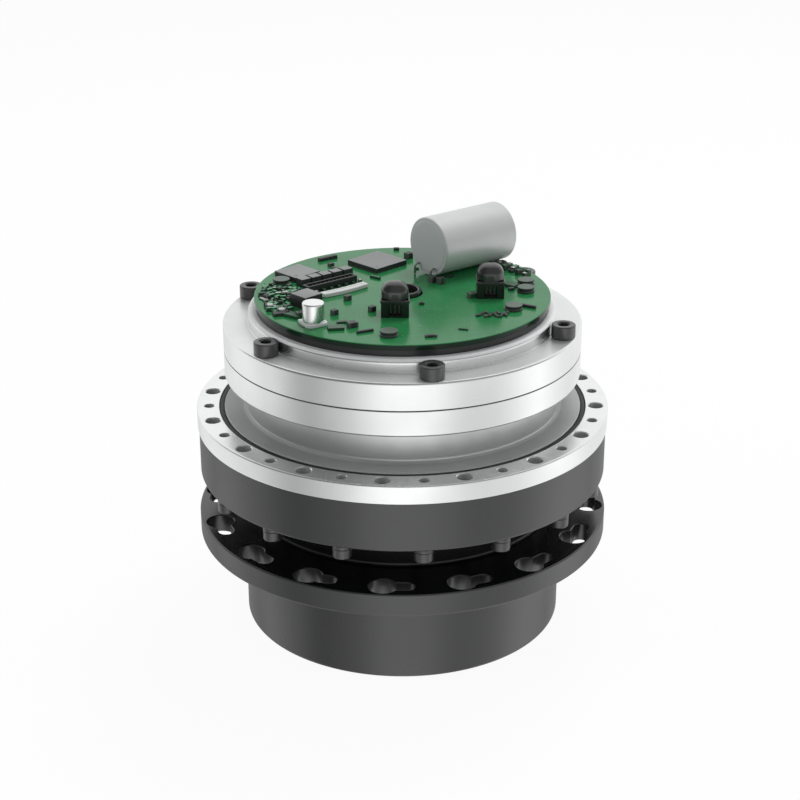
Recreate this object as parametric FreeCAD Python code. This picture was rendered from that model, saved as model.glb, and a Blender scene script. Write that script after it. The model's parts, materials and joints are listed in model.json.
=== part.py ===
import FreeCAD, Part
import math
import os

os.makedirs("parts", exist_ok=True)

# Robot joint actuator, standing on the underside of its output hub.
# Millimetres. Z is the turning axis, the front is towards -Y.
# Angles are in degrees from the front towards +X.
# The gear sets the size: every radius round it is worked out from its teeth.

# Clearances
SLIP = 0.05
RUN = 0.05
AIR = 0.7
THREAD_GAP = 0.05
HOLE_GAP = 0.15
TIP_GAP = 0.2
HEAD_SINK = 0.2
BOND = 0.01

# Strain wave gear
GEAR_MODULE = 0.62
FLEX_TEETH = 100
SPLINE_TEETH = 102
WAVE = 0.6
ADDENDUM = 0.42
DEDENDUM = 0.55
FLANK_ANGLE = 27.0
FLEX_TOOTH_W = 0.84
SPLINE_TOOTH_W = 0.84
GEAR_W = 10.0
SPLINE_RIM_W = 10.33
SPLINE_CLEAR = 1.9
FLEX_BAND_W = 9.0
FLEX_RIM_T = 0.75
CUP_WALL = 0.5
CUP_BOSS_R = 17.0
CUP_BOSS_T = 4.0
CUP_BORE_R = 7.5
DIAPHRAGM_T = 0.6
PRESS_PLATE_T = 2.5
PRESS_PLATE_GAP = 0.4

# Wave generator and its flexible bearing
PLUG_T = 8.0
RACE_T = 1.9
FLEX_BALL_D = 4.2
FLEX_BALL_COUNT = 15
PLUG_RIM_W = 4.6
PLUG_POCKET_T = 2.5

# Casing widths, each measured from its neighbour
NECK_WALL = 4.6
FOOT_W = 6.65
FOOT_T = 3.0
SEAL_W = 1.55
BOLT_INSET = 3.0
BOLT_EDGE = 3.3
HOUSING_EDGE = 0.8
MOUNT_RING_STEP = 0.4
MOUNT_RING_EDGE = 0.4
NECK_FILLET = 1.2
DRUM_OVERHANG = 6.15
DRUM_WALL = 7.0
DRUM_EDGE = 0.6
SEAM_EDGE = 0.35
DRUM_LEDGE = 7.5
BOSS_WALL = 5.0
BOSS_FILLET = 1.2
SPACER_STEP = 2.45
SPACER_W = 2.6
BOARD_STEP = 1.95

# Crossed roller bearing
BEARING_HALF_W = 7.0
SHOULDER_W = 4.5
BEARING_GAP = 1.6
BEARING_CHAMFER = 0.5
ROLLER_D = 5.0
ROLLER_L = 4.7
ROLLER_COUNT = 30
ROLLER_GAP = 0.03

# Output hub and keyhole flange
HUB_STEP = 3.25
HUB_H = 28.1
HUB_WALL = 5.0
HUB_EDGE = 1.0
RECESS_H = 20.0
OUTPUT_WEB_T = 10.0
FLANGE_STEP = 0.4
FLANGE_T = 7.0
FLANGE_EDGE = 0.5
FLANGE_LOWER_EDGE = 1.2
RELIEF_H = 1.6
RELIEF_RIM = 1.5
RELIEF_INNER = 2.4
PILOT_WALL = 5.0

# Keyhole slots and the holes above them
PATTERN_COUNT = 16
PATTERN_ANGLE = -5.45
KEYHOLE_INSET = 0.9
KEYHOLE_HEAD_R = 4.15
KEYHOLE_SLOT_R = 2.25
KEYHOLE_TURN = 6.8
MOUNT_HOLE_R = 2.2

# Heights of the stacked casings
GAP_H = 12.9
LIP_T = 2.8
BEARING_H = 12.0
MOUNT_RING_T = 5.5
NECK_H = 10.5
DRUM_LOWER_H = 7.7
DRUM_UPPER_H = 8.2
BOSS_H = 3.9
SPACER_T = 2.0
BOARD_T = 1.6

# Rotor shaft and its bearings
SHAFT_BORE_R = 7.2
SHAFT_TIP_R = 9.0
SHAFT_R = 10.0
SHAFT_COLLAR_R = 12.0
NUT_R = 13.0
NUT_T = 3.2
NUT_SLOT_W = 3.0
NUT_SLOT_DEPTH = 1.5
LOWER_BEARING_R = 16.0
LOWER_BEARING_H = 7.0
UPPER_BEARING_R = 13.5
UPPER_BEARING_H = 4.0
SHIELD_GAP = 0.1

# Motor
MOTOR_WEB_T = 3.8
SEAT_WALL = 3.0
SEAT_LIP = 2.0
COIL_TURN_H = 1.5
STACK_H = 7.6
STATOR_W = 11.9
AIR_GAP = 0.6
LEDGE_W = 1.2
SLOT_COUNT = 24
SLOT_W = 3.6
SLOT_MOUTH_W = 1.5
TOOTH_TIP_T = 1.2
YOKE_W = 3.2
COIL_GAP = 0.15
MAGNET_T = 1.5
MAGNET_COUNT = 20
MAGNET_GAP = 0.8
BACK_IRON_T = 3.0
ROTOR_DISC_T = 2.0
ROTOR_HOLE_R = 2.6
ROTOR_HOLE_COUNT = 6
COVER_PLATE_T = 3.0
FLOOR_GAP = 0.4

# Power-off brake
BRAKE_FIT = 0.5
BRAKE_CLEAR = 1.5
BRAKE_BODY_H = 5.9
BRAKE_POLE_W = 2.0
BRAKE_COIL_H = 3.7
BRAKE_GROOVE_H = 4.0
BRAKE_TRAVEL = 0.25
ARMATURE_T = 1.2
BRAKE_PIN_R = 0.8
BRAKE_PIN_COUNT = 3

# Encoders and the pass-through tube
TUBE_R = 5.6
TUBE_BORE_R = 4.5
TUBE_RISE = 1.2
TUBE_FLANGE_R = 12.5
TUBE_FLANGE_T = 2.5
MOTOR_RING_R = 17.0
MOTOR_RING_T = 1.5
OUTPUT_RING_R = 9.4
OUTPUT_RING_T = 0.9
READER_L = 3.4
READER_T = 0.6

# Screws: nominal radius, head radius, head height, socket across flats
M3 = (1.5, 2.75, 3.0, 2.5)
M4 = (2.0, 3.5, 4.0, 3.0)
M25_R = 1.25
M25_HEAD_R = 2.3
M25_HEAD_H = 1.25
SOCKET_DEPTH = 0.5
CLAMP_SCREW_L = 18.0
LOCK_WASHER_R = 2.8
LOCK_WASHER_T = 1.0
LOCK_WASHER_SPLIT = 0.3
DRUM_SCREW_L = 12.0
DRUM_SCREW_COUNT = 6
DRUM_SCREW_ANGLE = 9.4
SPLINE_SCREW_L = 10.0
SPLINE_SCREW_COUNT = 12
SPLINE_SCREW_ANGLE = 15.0
SPLINE_SCREW_INSET = 4.0
BOSS_SCREW_L = 12.0
BOSS_SCREW_COUNT = 8
BOSS_SCREW_CIRCLE_R = 12.6
SMALL_SCREW_L = 5.0
SMALL_SCREW_COUNT = 12
FOOT_SCREW_INSET = 2.55
TUBE_SCREW_COUNT = 4
TUBE_SCREW_CIRCLE_R = 9.6
TUBE_SCREW_ANGLE = 22.5

# Gear radii
flex_pitch_r = GEAR_MODULE * FLEX_TEETH / 2
spline_pitch_r = GEAR_MODULE * SPLINE_TEETH / 2
band_bore_r = flex_pitch_r - DEDENDUM - FLEX_RIM_T
cup_r = band_bore_r + CUP_WALL
plug_r = band_bore_r - 2 * RACE_T - FLEX_BALL_D - 2 * RUN
plug_pocket_r = plug_r - PLUG_RIM_W
spline_r = spline_pitch_r + DEDENDUM + SPLINE_RIM_W
spline_screw_circle_r = spline_r - SPLINE_SCREW_INSET

# Casing radii, from the gear outwards
neck_r = spline_r + NECK_WALL
foot_r = neck_r + FOOT_W
foot_screw_circle_r = foot_r - FOOT_SCREW_INSET
bolt_circle_r = foot_r + SEAL_W + BOLT_INSET
housing_r = bolt_circle_r + BOLT_EDGE
ring_r = housing_r + MOUNT_RING_STEP
flange_r = ring_r + FLANGE_STEP
keyhole_circle_r = bolt_circle_r - KEYHOLE_INSET
drum_r = neck_r + DRUM_OVERHANG
boss_r = drum_r - DRUM_LEDGE
drum_screw_circle_r = drum_r - DRUM_LEDGE / 2
spacer_r = boss_r - SPACER_STEP
board_r = boss_r - BOARD_STEP

# Bearing and hub radii, from the bolt circle inwards
bearing_r = bolt_circle_r - BOLT_EDGE
bearing_pitch_r = bearing_r - BEARING_HALF_W
bearing_bore_r = bearing_pitch_r - BEARING_HALF_W
spigot_r = bearing_bore_r + SHOULDER_W
hub_r = spigot_r + HUB_STEP

# Motor and brake radii, from the drum inwards
stator_r = drum_r - DRUM_WALL
stator_bore_r = stator_r - STATOR_W
slot_inner_r = stator_bore_r + TOOTH_TIP_T
slot_outer_r = stator_r - YOKE_W
magnet_r = stator_bore_r - AIR_GAP
back_iron_r = magnet_r - MAGNET_T
brake_r = back_iron_r - BACK_IRON_T - BRAKE_CLEAR
brake_inner_r = LOWER_BEARING_R + SEAT_WALL + BRAKE_FIT

# Heights worked out from the stack
flange_z = HUB_H
flange_top = flange_z + FLANGE_T
web_top = RECESS_H + OUTPUT_WEB_T
housing_z = flange_top + GAP_H
bearing_z = housing_z + LIP_T
ring_z = bearing_z + BEARING_H
ring_top = ring_z + MOUNT_RING_T
foot_z = ring_top - FOOT_T
drum_z = ring_top + NECK_H
seam_z = drum_z + DRUM_LOWER_H
drum_top = seam_z + DRUM_UPPER_H
boss_top = drum_top + BOSS_H
board_z = boss_top + SPACER_T
board_top = board_z + BOARD_T

# Gear heights
gear_z = ring_z + SPLINE_CLEAR * 2
gear_top = gear_z + GEAR_W
band_top = gear_top - 0.5
band_z = band_top - FLEX_BAND_W
plug_mid = (band_z + band_top) / 2
plug_z = plug_mid - PLUG_T / 2
spline_screw_z = gear_z + M3[2] + HEAD_SINK
clamp_ring_top = ring_z + SPLINE_CLEAR - 0.1
boss_z = web_top + CUP_BOSS_T
plate_top = boss_z + PRESS_PLATE_T

# Motor heights
motor_floor = gear_top + MOTOR_WEB_T
coil_z = motor_floor + FLOOR_GAP
stack_z = coil_z + COIL_TURN_H
stack_top = stack_z + STACK_H
coil_top = stack_top + COIL_TURN_H
plate_z = drum_top - COVER_PLATE_T
lower_bearing_z = gear_top + SEAT_LIP
lower_bearing_top = lower_bearing_z + LOWER_BEARING_H
brake_top = motor_floor + BRAKE_BODY_H
armature_z = brake_top + BRAKE_TRAVEL + RUN
armature_top = armature_z + ARMATURE_T
disc_top = plate_z - AIR
disc_z = disc_top - ROTOR_DISC_T
upper_bearing_z = plate_z + 0.5
upper_bearing_top = upper_bearing_z + UPPER_BEARING_H
shaft_top = upper_bearing_top + 2.3
plug_top = lower_bearing_z
nut_z = plug_z - NUT_T
shaft_z = nut_z - 0.4
tube_top = board_top + TUBE_RISE
half_pitch = 180.0 / PATTERN_COUNT
clamp_angle = PATTERN_ANGLE + half_pitch

O = FreeCAD.Vector(0, 0, 0)
UP = FreeCAD.Vector(0, 0, 1)
DOWN = FreeCAD.Vector(0, 0, -1)


def at(radius, angle, z=0.0):
    """A point at a radius and an angle from the front."""
    a = math.radians(angle)
    return FreeCAD.Vector(radius * math.sin(a), -radius * math.cos(a), z)


def tube(inner, outer, z0, z1):
    """A plain ring about the axis."""
    body = Part.makeCylinder(outer, z1 - z0, FreeCAD.Vector(0, 0, z0))
    if inner > 0:
        body = body.cut(Part.makeCylinder(inner, z1 - z0, FreeCAD.Vector(0, 0, z0)))
    return body


def rod(radius, centre, height, direction=UP):
    return Part.makeCylinder(radius, height, centre, direction)


def corner(before, here, after, radius):
    """Where an arc of this radius leaves one line, its middle, and where it joins the next."""
    a = (before - here).normalize()
    b = (after - here).normalize()
    half = a.getAngle(b) / 2
    reach = radius / math.tan(half)
    middle = (a + b).normalize()
    depth = radius / math.sin(half) - radius
    return here + a * reach, here + middle * depth, here + b * reach


def outline(points, place):
    """A closed wire through points (x, y) or (x, y, corner radius), laid out by place(x, y)."""
    spots = [place(p[0], p[1]) for p in points]
    radii = [p[2] if len(p) > 2 else 0 for p in points]
    count = len(spots)
    legs = []
    for i in range(count):
        if radii[i]:
            legs.append(corner(spots[i - 1], spots[i], spots[(i + 1) % count], radii[i]))
        else:
            legs.append((spots[i], None, spots[i]))
    edges = []
    for i in range(count):
        start, middle, end = legs[i]
        if middle is not None:
            edges.append(Part.Arc(start, middle, end).toShape())
        following = legs[(i + 1) % count][0]
        if (following - end).Length > 1e-6:
            edges.append(Part.LineSegment(end, following).toShape())
    return Part.Wire(edges)


def revolved(points):
    """A solid turned about the axis from an outline of (radius, height) points."""
    wire = outline(points, lambda r, z: FreeCAD.Vector(r, 0, z))
    return Part.Face(wire).revolve(O, UP, 360)


def prism(points, z0, z1):
    """A solid raised from a flat outline."""
    wire = outline(points, lambda x, y: FreeCAD.Vector(x, y, z0))
    return Part.Face(wire).extrude(FreeCAD.Vector(0, 0, z1 - z0))


def turned(shape, angle):
    copy = shape.copy()
    copy.rotate(O, UP, angle)
    return copy


def moved(shape, vector):
    copy = shape.copy()
    copy.translate(vector)
    return copy


def around(shape, count, start=0.0):
    """Copies of a shape made at the front, spaced evenly about the axis."""
    return [turned(shape, start + i * 360.0 / count) for i in range(count)]


def group(solids):
    return Part.makeCompound(solids)


def hexagon(across, z0, z1):
    """A hexagonal prism about the axis, given across its flats."""
    r = across / math.sqrt(3)
    points = [(r * math.cos(math.radians(60 * i)), r * math.sin(math.radians(60 * i))) for i in range(6)]
    return prism(points, z0, z1)


def cap_screw(size, length):
    """A socket head cap screw, head up, with its seat at the origin."""
    radius, head_r, head_h, socket = size
    edge = head_h * 0.12
    shank = tube(0, radius, -length, 0)
    head = revolved([(0, 0), (head_r, 0), (head_r, head_h, edge), (0, head_h)])
    hollow = hexagon(socket, head_h * SOCKET_DEPTH, head_h + 1)
    return head.fuse(shank).cut(hollow)


def countersunk_screw(length):
    """A small countersunk screw, head up, its flat top at the origin."""
    head = [(0, -length), (M25_R, -length), (M25_R, -M25_HEAD_H), (M25_HEAD_R, 0), (0, 0)]
    return revolved(head).cut(hexagon(M25_R * 1.2, -M25_HEAD_H * 0.8, 1))


def countersink(place, direction, depth):
    """The hole that a small countersunk screw sits in, opening at place towards direction."""
    inward = direction * -1
    mouth_r = M25_HEAD_R + SLIP
    neck_r = M25_R + SLIP
    cone = Part.makeCone(mouth_r, neck_r, M25_HEAD_H, place, inward)
    return cone.fuse(Part.makeCylinder(neck_r, depth, place, inward))


def flipped(shape, z):
    """A copy turned upside down about a line at this height, then left at the front."""
    copy = shape.copy()
    copy.rotate(O, FreeCAD.Vector(1, 0, 0), 180)
    copy.translate(FreeCAD.Vector(0, 0, z))
    return copy


def screws_on(screw, radius, count, start, z, upside_down=False):
    """A ring of screws with their seats at height z."""
    one = flipped(screw, z) if upside_down else moved(screw, FreeCAD.Vector(0, 0, z))
    return group(around(moved(one, at(radius, 0)), count, start))


def holes_on(radius, hole_r, count, start, z0, z1):
    """Cutters for a ring of round holes."""
    one = rod(hole_r, at(radius, 0, z0), z1 - z0)
    return around(one, count, start)


def keyhole():
    """One keyhole cutter: a round end that passes a screw head, and a slot that traps its shank."""
    z0 = flange_z - 1
    height = FLANGE_T + 2
    big = rod(KEYHOLE_HEAD_R, at(keyhole_circle_r, 0, z0), height)
    small = rod(KEYHOLE_SLOT_R, at(keyhole_circle_r, KEYHOLE_TURN, z0), height)
    band = tube(keyhole_circle_r - KEYHOLE_SLOT_R, keyhole_circle_r + KEYHOLE_SLOT_R, z0, z0 + height)
    far = keyhole_circle_r * 1.3
    wedge = prism([(0, 0), (0, -far), at(far, KEYHOLE_TURN)[:2]], z0, z0 + height)
    return big.fuse([small, band.common(wedge)])


def output_flange():
    """Hub, keyhole flange and the spigot that the bearing's inner ring sits on, in one piece."""
    inner = hub_r - HUB_WALL
    relief_in = hub_r + RELIEF_INNER
    relief_out = flange_r - RELIEF_RIM
    pilot_r = bearing_bore_r - SLIP
    pilot_bore = pilot_r - PILOT_WALL
    pilot_top = ring_z - 0.2
    profile = [
        (inner, 0),
        (hub_r, 0, HUB_EDGE),
        (hub_r, flange_z),
        (relief_in, flange_z),
        (relief_in, flange_z + RELIEF_H, 0.6),
        (relief_out, flange_z + RELIEF_H, 0.6),
        (relief_out, flange_z),
        (flange_r, flange_z, FLANGE_LOWER_EDGE),
        (flange_r, flange_top, FLANGE_EDGE),
        (spigot_r, flange_top, 1.0),
        (spigot_r, bearing_z),
        (pilot_r, bearing_z),
        (pilot_r, pilot_top),
        (pilot_bore, pilot_top),
        (pilot_bore, web_top, 1.5),
        (TUBE_R + SLIP, web_top),
        (TUBE_R + SLIP, RECESS_H),
        (inner, RECESS_H, 2.0),
    ]
    body = revolved(profile)
    cuts = around(keyhole(), PATTERN_COUNT, PATTERN_ANGLE)
    tapped = M3[0] + THREAD_GAP
    depth = BOSS_SCREW_L - CUP_BOSS_T - PRESS_PLATE_T + 1
    cuts += holes_on(BOSS_SCREW_CIRCLE_R, tapped, BOSS_SCREW_COUNT, 0, web_top - depth, web_top)
    deep = SMALL_SCREW_L + 0.5
    small = M25_R + THREAD_GAP
    clamp_circle = pilot_r - PILOT_WALL / 2
    cuts += holes_on(clamp_circle, small, SMALL_SCREW_COUNT, 0, pilot_top - deep, pilot_top)
    top = RECESS_H + deep - TUBE_FLANGE_T
    cuts += holes_on(TUBE_SCREW_CIRCLE_R, small, TUBE_SCREW_COUNT, TUBE_SCREW_ANGLE, RECESS_H, top)
    return body.cut(cuts)


def bearing_inner_ring():
    """Inner ring with its half of the V groove."""
    outer = bearing_pitch_r - BEARING_GAP / 2
    apex = bearing_pitch_r - (ROLLER_D / 2 + ROLLER_GAP) * math.sqrt(2)
    mid = bearing_z + BEARING_H / 2
    c = BEARING_CHAMFER
    profile = [
        (bearing_bore_r, bearing_z),
        (outer - c, bearing_z),
        (outer, bearing_z + c),
        (outer, mid - (outer - apex)),
        (apex, mid),
        (outer, mid + (outer - apex)),
        (outer, ring_z - c),
        (outer - c, ring_z),
        (bearing_bore_r, ring_z),
    ]
    return revolved(profile)


def bearing_outer_ring():
    """Outer ring with the other half of the V groove."""
    inner = bearing_pitch_r + BEARING_GAP / 2
    apex = bearing_pitch_r + (ROLLER_D / 2 + ROLLER_GAP) * math.sqrt(2)
    mid = bearing_z + BEARING_H / 2
    c = BEARING_CHAMFER
    profile = [
        (bearing_r, bearing_z),
        (bearing_r, ring_z),
        (inner + c, ring_z),
        (inner, ring_z - c),
        (inner, mid + (apex - inner)),
        (apex, mid),
        (inner, mid - (apex - inner)),
        (inner, bearing_z + c),
        (inner + c, bearing_z),
    ]
    return revolved(profile)


def crossed_rollers():
    """Short rollers in the V groove, each leaning the other way from the next."""
    mid = bearing_z + BEARING_H / 2
    rollers = []
    for i in range(ROLLER_COUNT):
        lean = 45 if i % 2 else -45
        one = rod(ROLLER_D / 2, FreeCAD.Vector(0, 0, -ROLLER_L / 2), ROLLER_L)
        one.rotate(O, FreeCAD.Vector(1, 0, 0), lean)
        one.translate(at(bearing_pitch_r, 0, mid))
        rollers.append(turned(one, i * 360.0 / ROLLER_COUNT))
    return group(rollers)


def bearing_clamp_ring():
    """Flat ring that holds the bearing's inner ring down on the spigot."""
    pilot_r = bearing_bore_r - SLIP
    circle = pilot_r - PILOT_WALL / 2
    body = tube(pilot_r - PILOT_WALL + 0.3, bearing_bore_r + 3.5, ring_z, clamp_ring_top)
    cutter = countersink(at(circle, 0, clamp_ring_top), UP, 4)
    return body.cut(around(cutter, SMALL_SCREW_COUNT))


def clamp_ring_screws():
    circle = bearing_bore_r - SLIP - PILOT_WALL / 2
    screw = countersunk_screw(SMALL_SCREW_L)
    return screws_on(screw, circle, SMALL_SCREW_COUNT, 0, clamp_ring_top)


def bearing_housing():
    """Black outer casing that carries the bearing's outer ring."""
    profile = [
        (bearing_r - SHOULDER_W, housing_z, 0.5),
        (housing_r, housing_z, HOUSING_EDGE),
        (housing_r, ring_z),
        (bearing_r + SLIP, ring_z),
        (bearing_r + SLIP, bearing_z),
        (bearing_r - SHOULDER_W, bearing_z),
    ]
    body = revolved(profile)
    z0 = housing_z - 1
    cuts = holes_on(bolt_circle_r, MOUNT_HOLE_R, PATTERN_COUNT, PATTERN_ANGLE, z0, ring_z + 1)
    cuts += holes_on(bolt_circle_r, M3[0] + HOLE_GAP, PATTERN_COUNT, clamp_angle, z0, ring_z + 1)
    return body.cut(cuts)


def mount_ring():
    """Bright ring with the mounting holes, and the lip that the motor housing's foot sits on."""
    lip_r = bearing_pitch_r + 0.2
    pocket_r = foot_r + SEAL_W
    profile = [
        (lip_r, ring_z),
        (ring_r, ring_z),
        (ring_r, ring_top, MOUNT_RING_EDGE),
        (pocket_r, ring_top),
        (pocket_r, foot_z),
        (lip_r, foot_z),
    ]
    body = revolved(profile)
    z0 = ring_z - 1
    cuts = holes_on(bolt_circle_r, MOUNT_HOLE_R, PATTERN_COUNT, PATTERN_ANGLE, z0, ring_top + 1)
    cuts += holes_on(bolt_circle_r, M3[0] + THREAD_GAP, PATTERN_COUNT, clamp_angle, z0, ring_top + 1)
    sunk = countersink(at(foot_screw_circle_r, 0, ring_z), DOWN, MOUNT_RING_T)
    cuts += around(sunk, SMALL_SCREW_COUNT)
    return body.cut(cuts)


def clamp_screws():
    """Cap screws from below that clamp the bearing housing to the mounting ring."""
    screw = cap_screw(M3, CLAMP_SCREW_L)
    seat = housing_z - LOCK_WASHER_T
    return screws_on(screw, bolt_circle_r, PATTERN_COUNT, clamp_angle, seat, True)


def clamp_washers():
    """Split lock washers between those heads and the casing."""
    washer = tube(M3[0] + THREAD_GAP, LOCK_WASHER_R, 0, LOCK_WASHER_T)
    split = Part.makeBox(LOCK_WASHER_SPLIT, LOCK_WASHER_R * 2, LOCK_WASHER_T)
    washer = washer.cut(split)
    return screws_on(washer, bolt_circle_r, PATTERN_COUNT, clamp_angle, housing_z, True)


def foot_screws():
    """Countersunk screws from below that hold the motor housing's foot on the ring's lip."""
    screw = countersunk_screw(SMALL_SCREW_L)
    return screws_on(screw, foot_screw_circle_r, SMALL_SCREW_COUNT, 0, ring_z, True)


def seal_ring():
    """Round-topped seal in the groove between the foot and the mounting ring."""
    inner = foot_r + SLIP
    outer = foot_r + SEAL_W - SLIP
    top = ring_top - 0.25
    return revolved([(inner, foot_z), (outer, foot_z), (outer, top, 0.5), (inner, top, 0.5)])


def shaft_seal():
    """Rubber seal between the bearing housing's lip and the turning spigot."""
    outer = bearing_r - SHOULDER_W - SLIP
    inner = spigot_r + RUN
    z0 = housing_z + 0.3
    top = bearing_z - 0.2
    profile = [
        (inner, z0),
        (inner + 1.0, z0),
        (inner + 1.6, top - 0.8),
        (outer, top - 0.8),
        (outer, top),
        (inner + 0.8, top),
        (inner, z0 + 1.2),
    ]
    return revolved(profile)


def motor_housing():
    """Foot, neck and lower half of the drum, with the web that divides gear from motor."""
    bore = spline_r + SLIP
    ledge_r = stator_r - LEDGE_W
    seat_r = LOWER_BEARING_R + SLIP
    seat_top = lower_bearing_top - 0.5
    profile = [
        (bore, foot_z),
        (foot_r, foot_z),
        (foot_r, ring_top, 0.3),
        (neck_r, ring_top, NECK_FILLET),
        (neck_r, drum_z, 0.8),
        (drum_r, drum_z, SEAM_EDGE * 2),
        (drum_r, seam_z, SEAM_EDGE),
        (stator_r + SLIP, seam_z),
        (stator_r + SLIP, stack_z),
        (ledge_r, stack_z),
        (ledge_r, motor_floor, 1.0),
        (LOWER_BEARING_R + SEAT_WALL, motor_floor),
        (LOWER_BEARING_R + SEAT_WALL, seat_top),
        (seat_r, seat_top),
        (seat_r, lower_bearing_z),
        (LOWER_BEARING_R - 2.0, lower_bearing_z),
        (LOWER_BEARING_R - 2.0, gear_top),
        (bore, gear_top),
    ]
    body = revolved(profile)
    tapped = M3[0] + THREAD_GAP
    top = spline_screw_z + SPLINE_SCREW_L + TIP_GAP
    cuts = holes_on(spline_screw_circle_r, tapped, SPLINE_SCREW_COUNT, SPLINE_SCREW_ANGLE, gear_top - 1, top)
    top = ring_z + SMALL_SCREW_L + TIP_GAP / 2
    cuts += holes_on(foot_screw_circle_r, M25_R + THREAD_GAP, SMALL_SCREW_COUNT, 0, foot_z - 1, top)
    low = drum_top - DRUM_SCREW_L - 1
    big = M4[0] + THREAD_GAP
    cuts += holes_on(drum_screw_circle_r, big, DRUM_SCREW_COUNT, DRUM_SCREW_ANGLE, low, seam_z + 1)
    return body.cut(cuts)


def drum_cover():
    """Upper half of the drum, with the raised boss that carries the driver board."""
    ledge_r = stator_r - LEDGE_W
    well_r = boss_r - BOSS_WALL
    seat_r = UPPER_BEARING_R + SLIP
    seat_wall_r = UPPER_BEARING_R + SEAT_WALL
    lip_r = UPPER_BEARING_R - 1.0
    seat_top = upper_bearing_top + 0.2
    profile = [
        (stator_r + SLIP, seam_z),
        (drum_r, seam_z, SEAM_EDGE),
        (drum_r, drum_top, DRUM_EDGE),
        (boss_r, drum_top, 0.2),
        (boss_r, boss_top, BOSS_FILLET),
        (well_r, boss_top),
        (well_r, drum_top),
        (seat_wall_r, drum_top),
        (seat_wall_r, seat_top),
        (seat_r, seat_top),
        (seat_r, upper_bearing_z),
        (lip_r, upper_bearing_z),
        (lip_r, plate_z),
        (ledge_r, plate_z, 1.0),
        (ledge_r, stack_top),
        (stator_r + SLIP, stack_top),
    ]
    body = revolved(profile)
    big = M4[0] + 0.2
    cuts = holes_on(drum_screw_circle_r, big, DRUM_SCREW_COUNT, DRUM_SCREW_ANGLE, seam_z - 1, drum_top + 1)
    return body.cut(cuts)


def drum_screws():
    screw = cap_screw(M4, DRUM_SCREW_L)
    return screws_on(screw, drum_screw_circle_r, DRUM_SCREW_COUNT, DRUM_SCREW_ANGLE, drum_top)


def tooth(root, tip, width, pitch_r, place):
    """Four corners of a straight-flanked tooth, from the root line to the tip line and back."""
    slope = math.tan(math.radians(FLANK_ANGLE))
    half_root = width / 2 + abs(root - pitch_r) * slope
    half_tip = width / 2 - abs(tip - pitch_r) * slope
    return [place(root, -half_root), place(tip, -half_tip), place(tip, half_tip), place(root, half_root)]


def flex_tooth_place(i):
    """Where a tooth of the flexspline stands once the wave generator has bent the rim."""
    pitch_r = flex_pitch_r
    a = 2 * math.pi * i / FLEX_TEETH
    out = WAVE * math.cos(2 * a)
    along = -WAVE / 2 * math.sin(2 * a)
    lean = a + 1.5 * WAVE * math.sin(2 * a) / pitch_r
    centre = a + along / pitch_r
    cx = (pitch_r + out) * math.cos(centre)
    cy = (pitch_r + out) * math.sin(centre)

    def place(radius, across):
        rise = radius - pitch_r
        x = cx + rise * math.cos(lean) - across * math.sin(lean)
        y = cy + rise * math.sin(lean) + across * math.cos(lean)
        return x, y

    return place


def spline_tooth_place(i):
    """Where a tooth of the circular spline stands. It points inwards, half a pitch off the major axis."""
    a = 2 * math.pi * (i + 0.5) / SPLINE_TEETH

    def place(radius, across):
        x = radius * math.cos(a) - across * math.sin(a)
        y = radius * math.sin(a) + across * math.cos(a)
        return x, y

    return place


def flexspline():
    """Thin steel cup: bolted boss, diaphragm, and a rim of outer teeth bent into an oval."""
    pitch_r = flex_pitch_r
    points = []
    for i in range(FLEX_TEETH):
        place = flex_tooth_place(i)
        points += tooth(pitch_r - DEDENDUM, pitch_r + ADDENDUM, FLEX_TOOTH_W, pitch_r, place)
    rim = prism(points, band_z, band_top).cut(oval_cylinder(band_bore_r, band_z, band_top))
    low = web_top + 3.0
    outer = oval_cone(cup_r, 0, low, WAVE, band_z)
    inner = oval_cone(cup_r - CUP_WALL, 0, low, WAVE, band_z)
    wall = outer.cut(inner)
    diaphragm = [
        (CUP_BORE_R, web_top),
        (CUP_BOSS_R, web_top),
        (CUP_BOSS_R, web_top + 1.0, 0.8),
        (cup_r, web_top + 1.0, 1.6),
        (cup_r, low),
        (cup_r - CUP_WALL, low),
        (cup_r - CUP_WALL, web_top + 1.0 + DIAPHRAGM_T, 1.1),
        (CUP_BOSS_R, web_top + 1.0 + DIAPHRAGM_T, 0.8),
        (CUP_BOSS_R, boss_z),
        (CUP_BORE_R, boss_z),
    ]
    base = revolved(diaphragm)
    hole_r = M3[0] + HOLE_GAP
    cuts = holes_on(BOSS_SCREW_CIRCLE_R, hole_r, BOSS_SCREW_COUNT, 0, web_top - 1, boss_z + 1)
    return rim.fuse([wall, base]).cut(cuts).removeSplitter()


def oval(radius, wave, z):
    """An oval wire whose long axis is on X, or a circle where there is no wave."""
    centre = FreeCAD.Vector(0, 0, z)
    if wave:
        curve = Part.Ellipse(centre, radius + wave, radius - wave)
    else:
        curve = Part.Circle(centre, UP, radius)
    return Part.Wire(curve.toShape())


def oval_cylinder(radius, z0, z1):
    return Part.Face(oval(radius, WAVE, z0)).extrude(FreeCAD.Vector(0, 0, z1 - z0))


def oval_ring(inner, outer, z0, z1):
    return oval_cylinder(outer, z0, z1).cut(oval_cylinder(inner, z0, z1))


def oval_cone(radius, wave0, z0, wave1, z1):
    """A cup wall that goes from round to oval."""
    return Part.makeLoft([oval(radius, wave0, z0), oval(radius, wave1, z1)], True, True)


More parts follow.
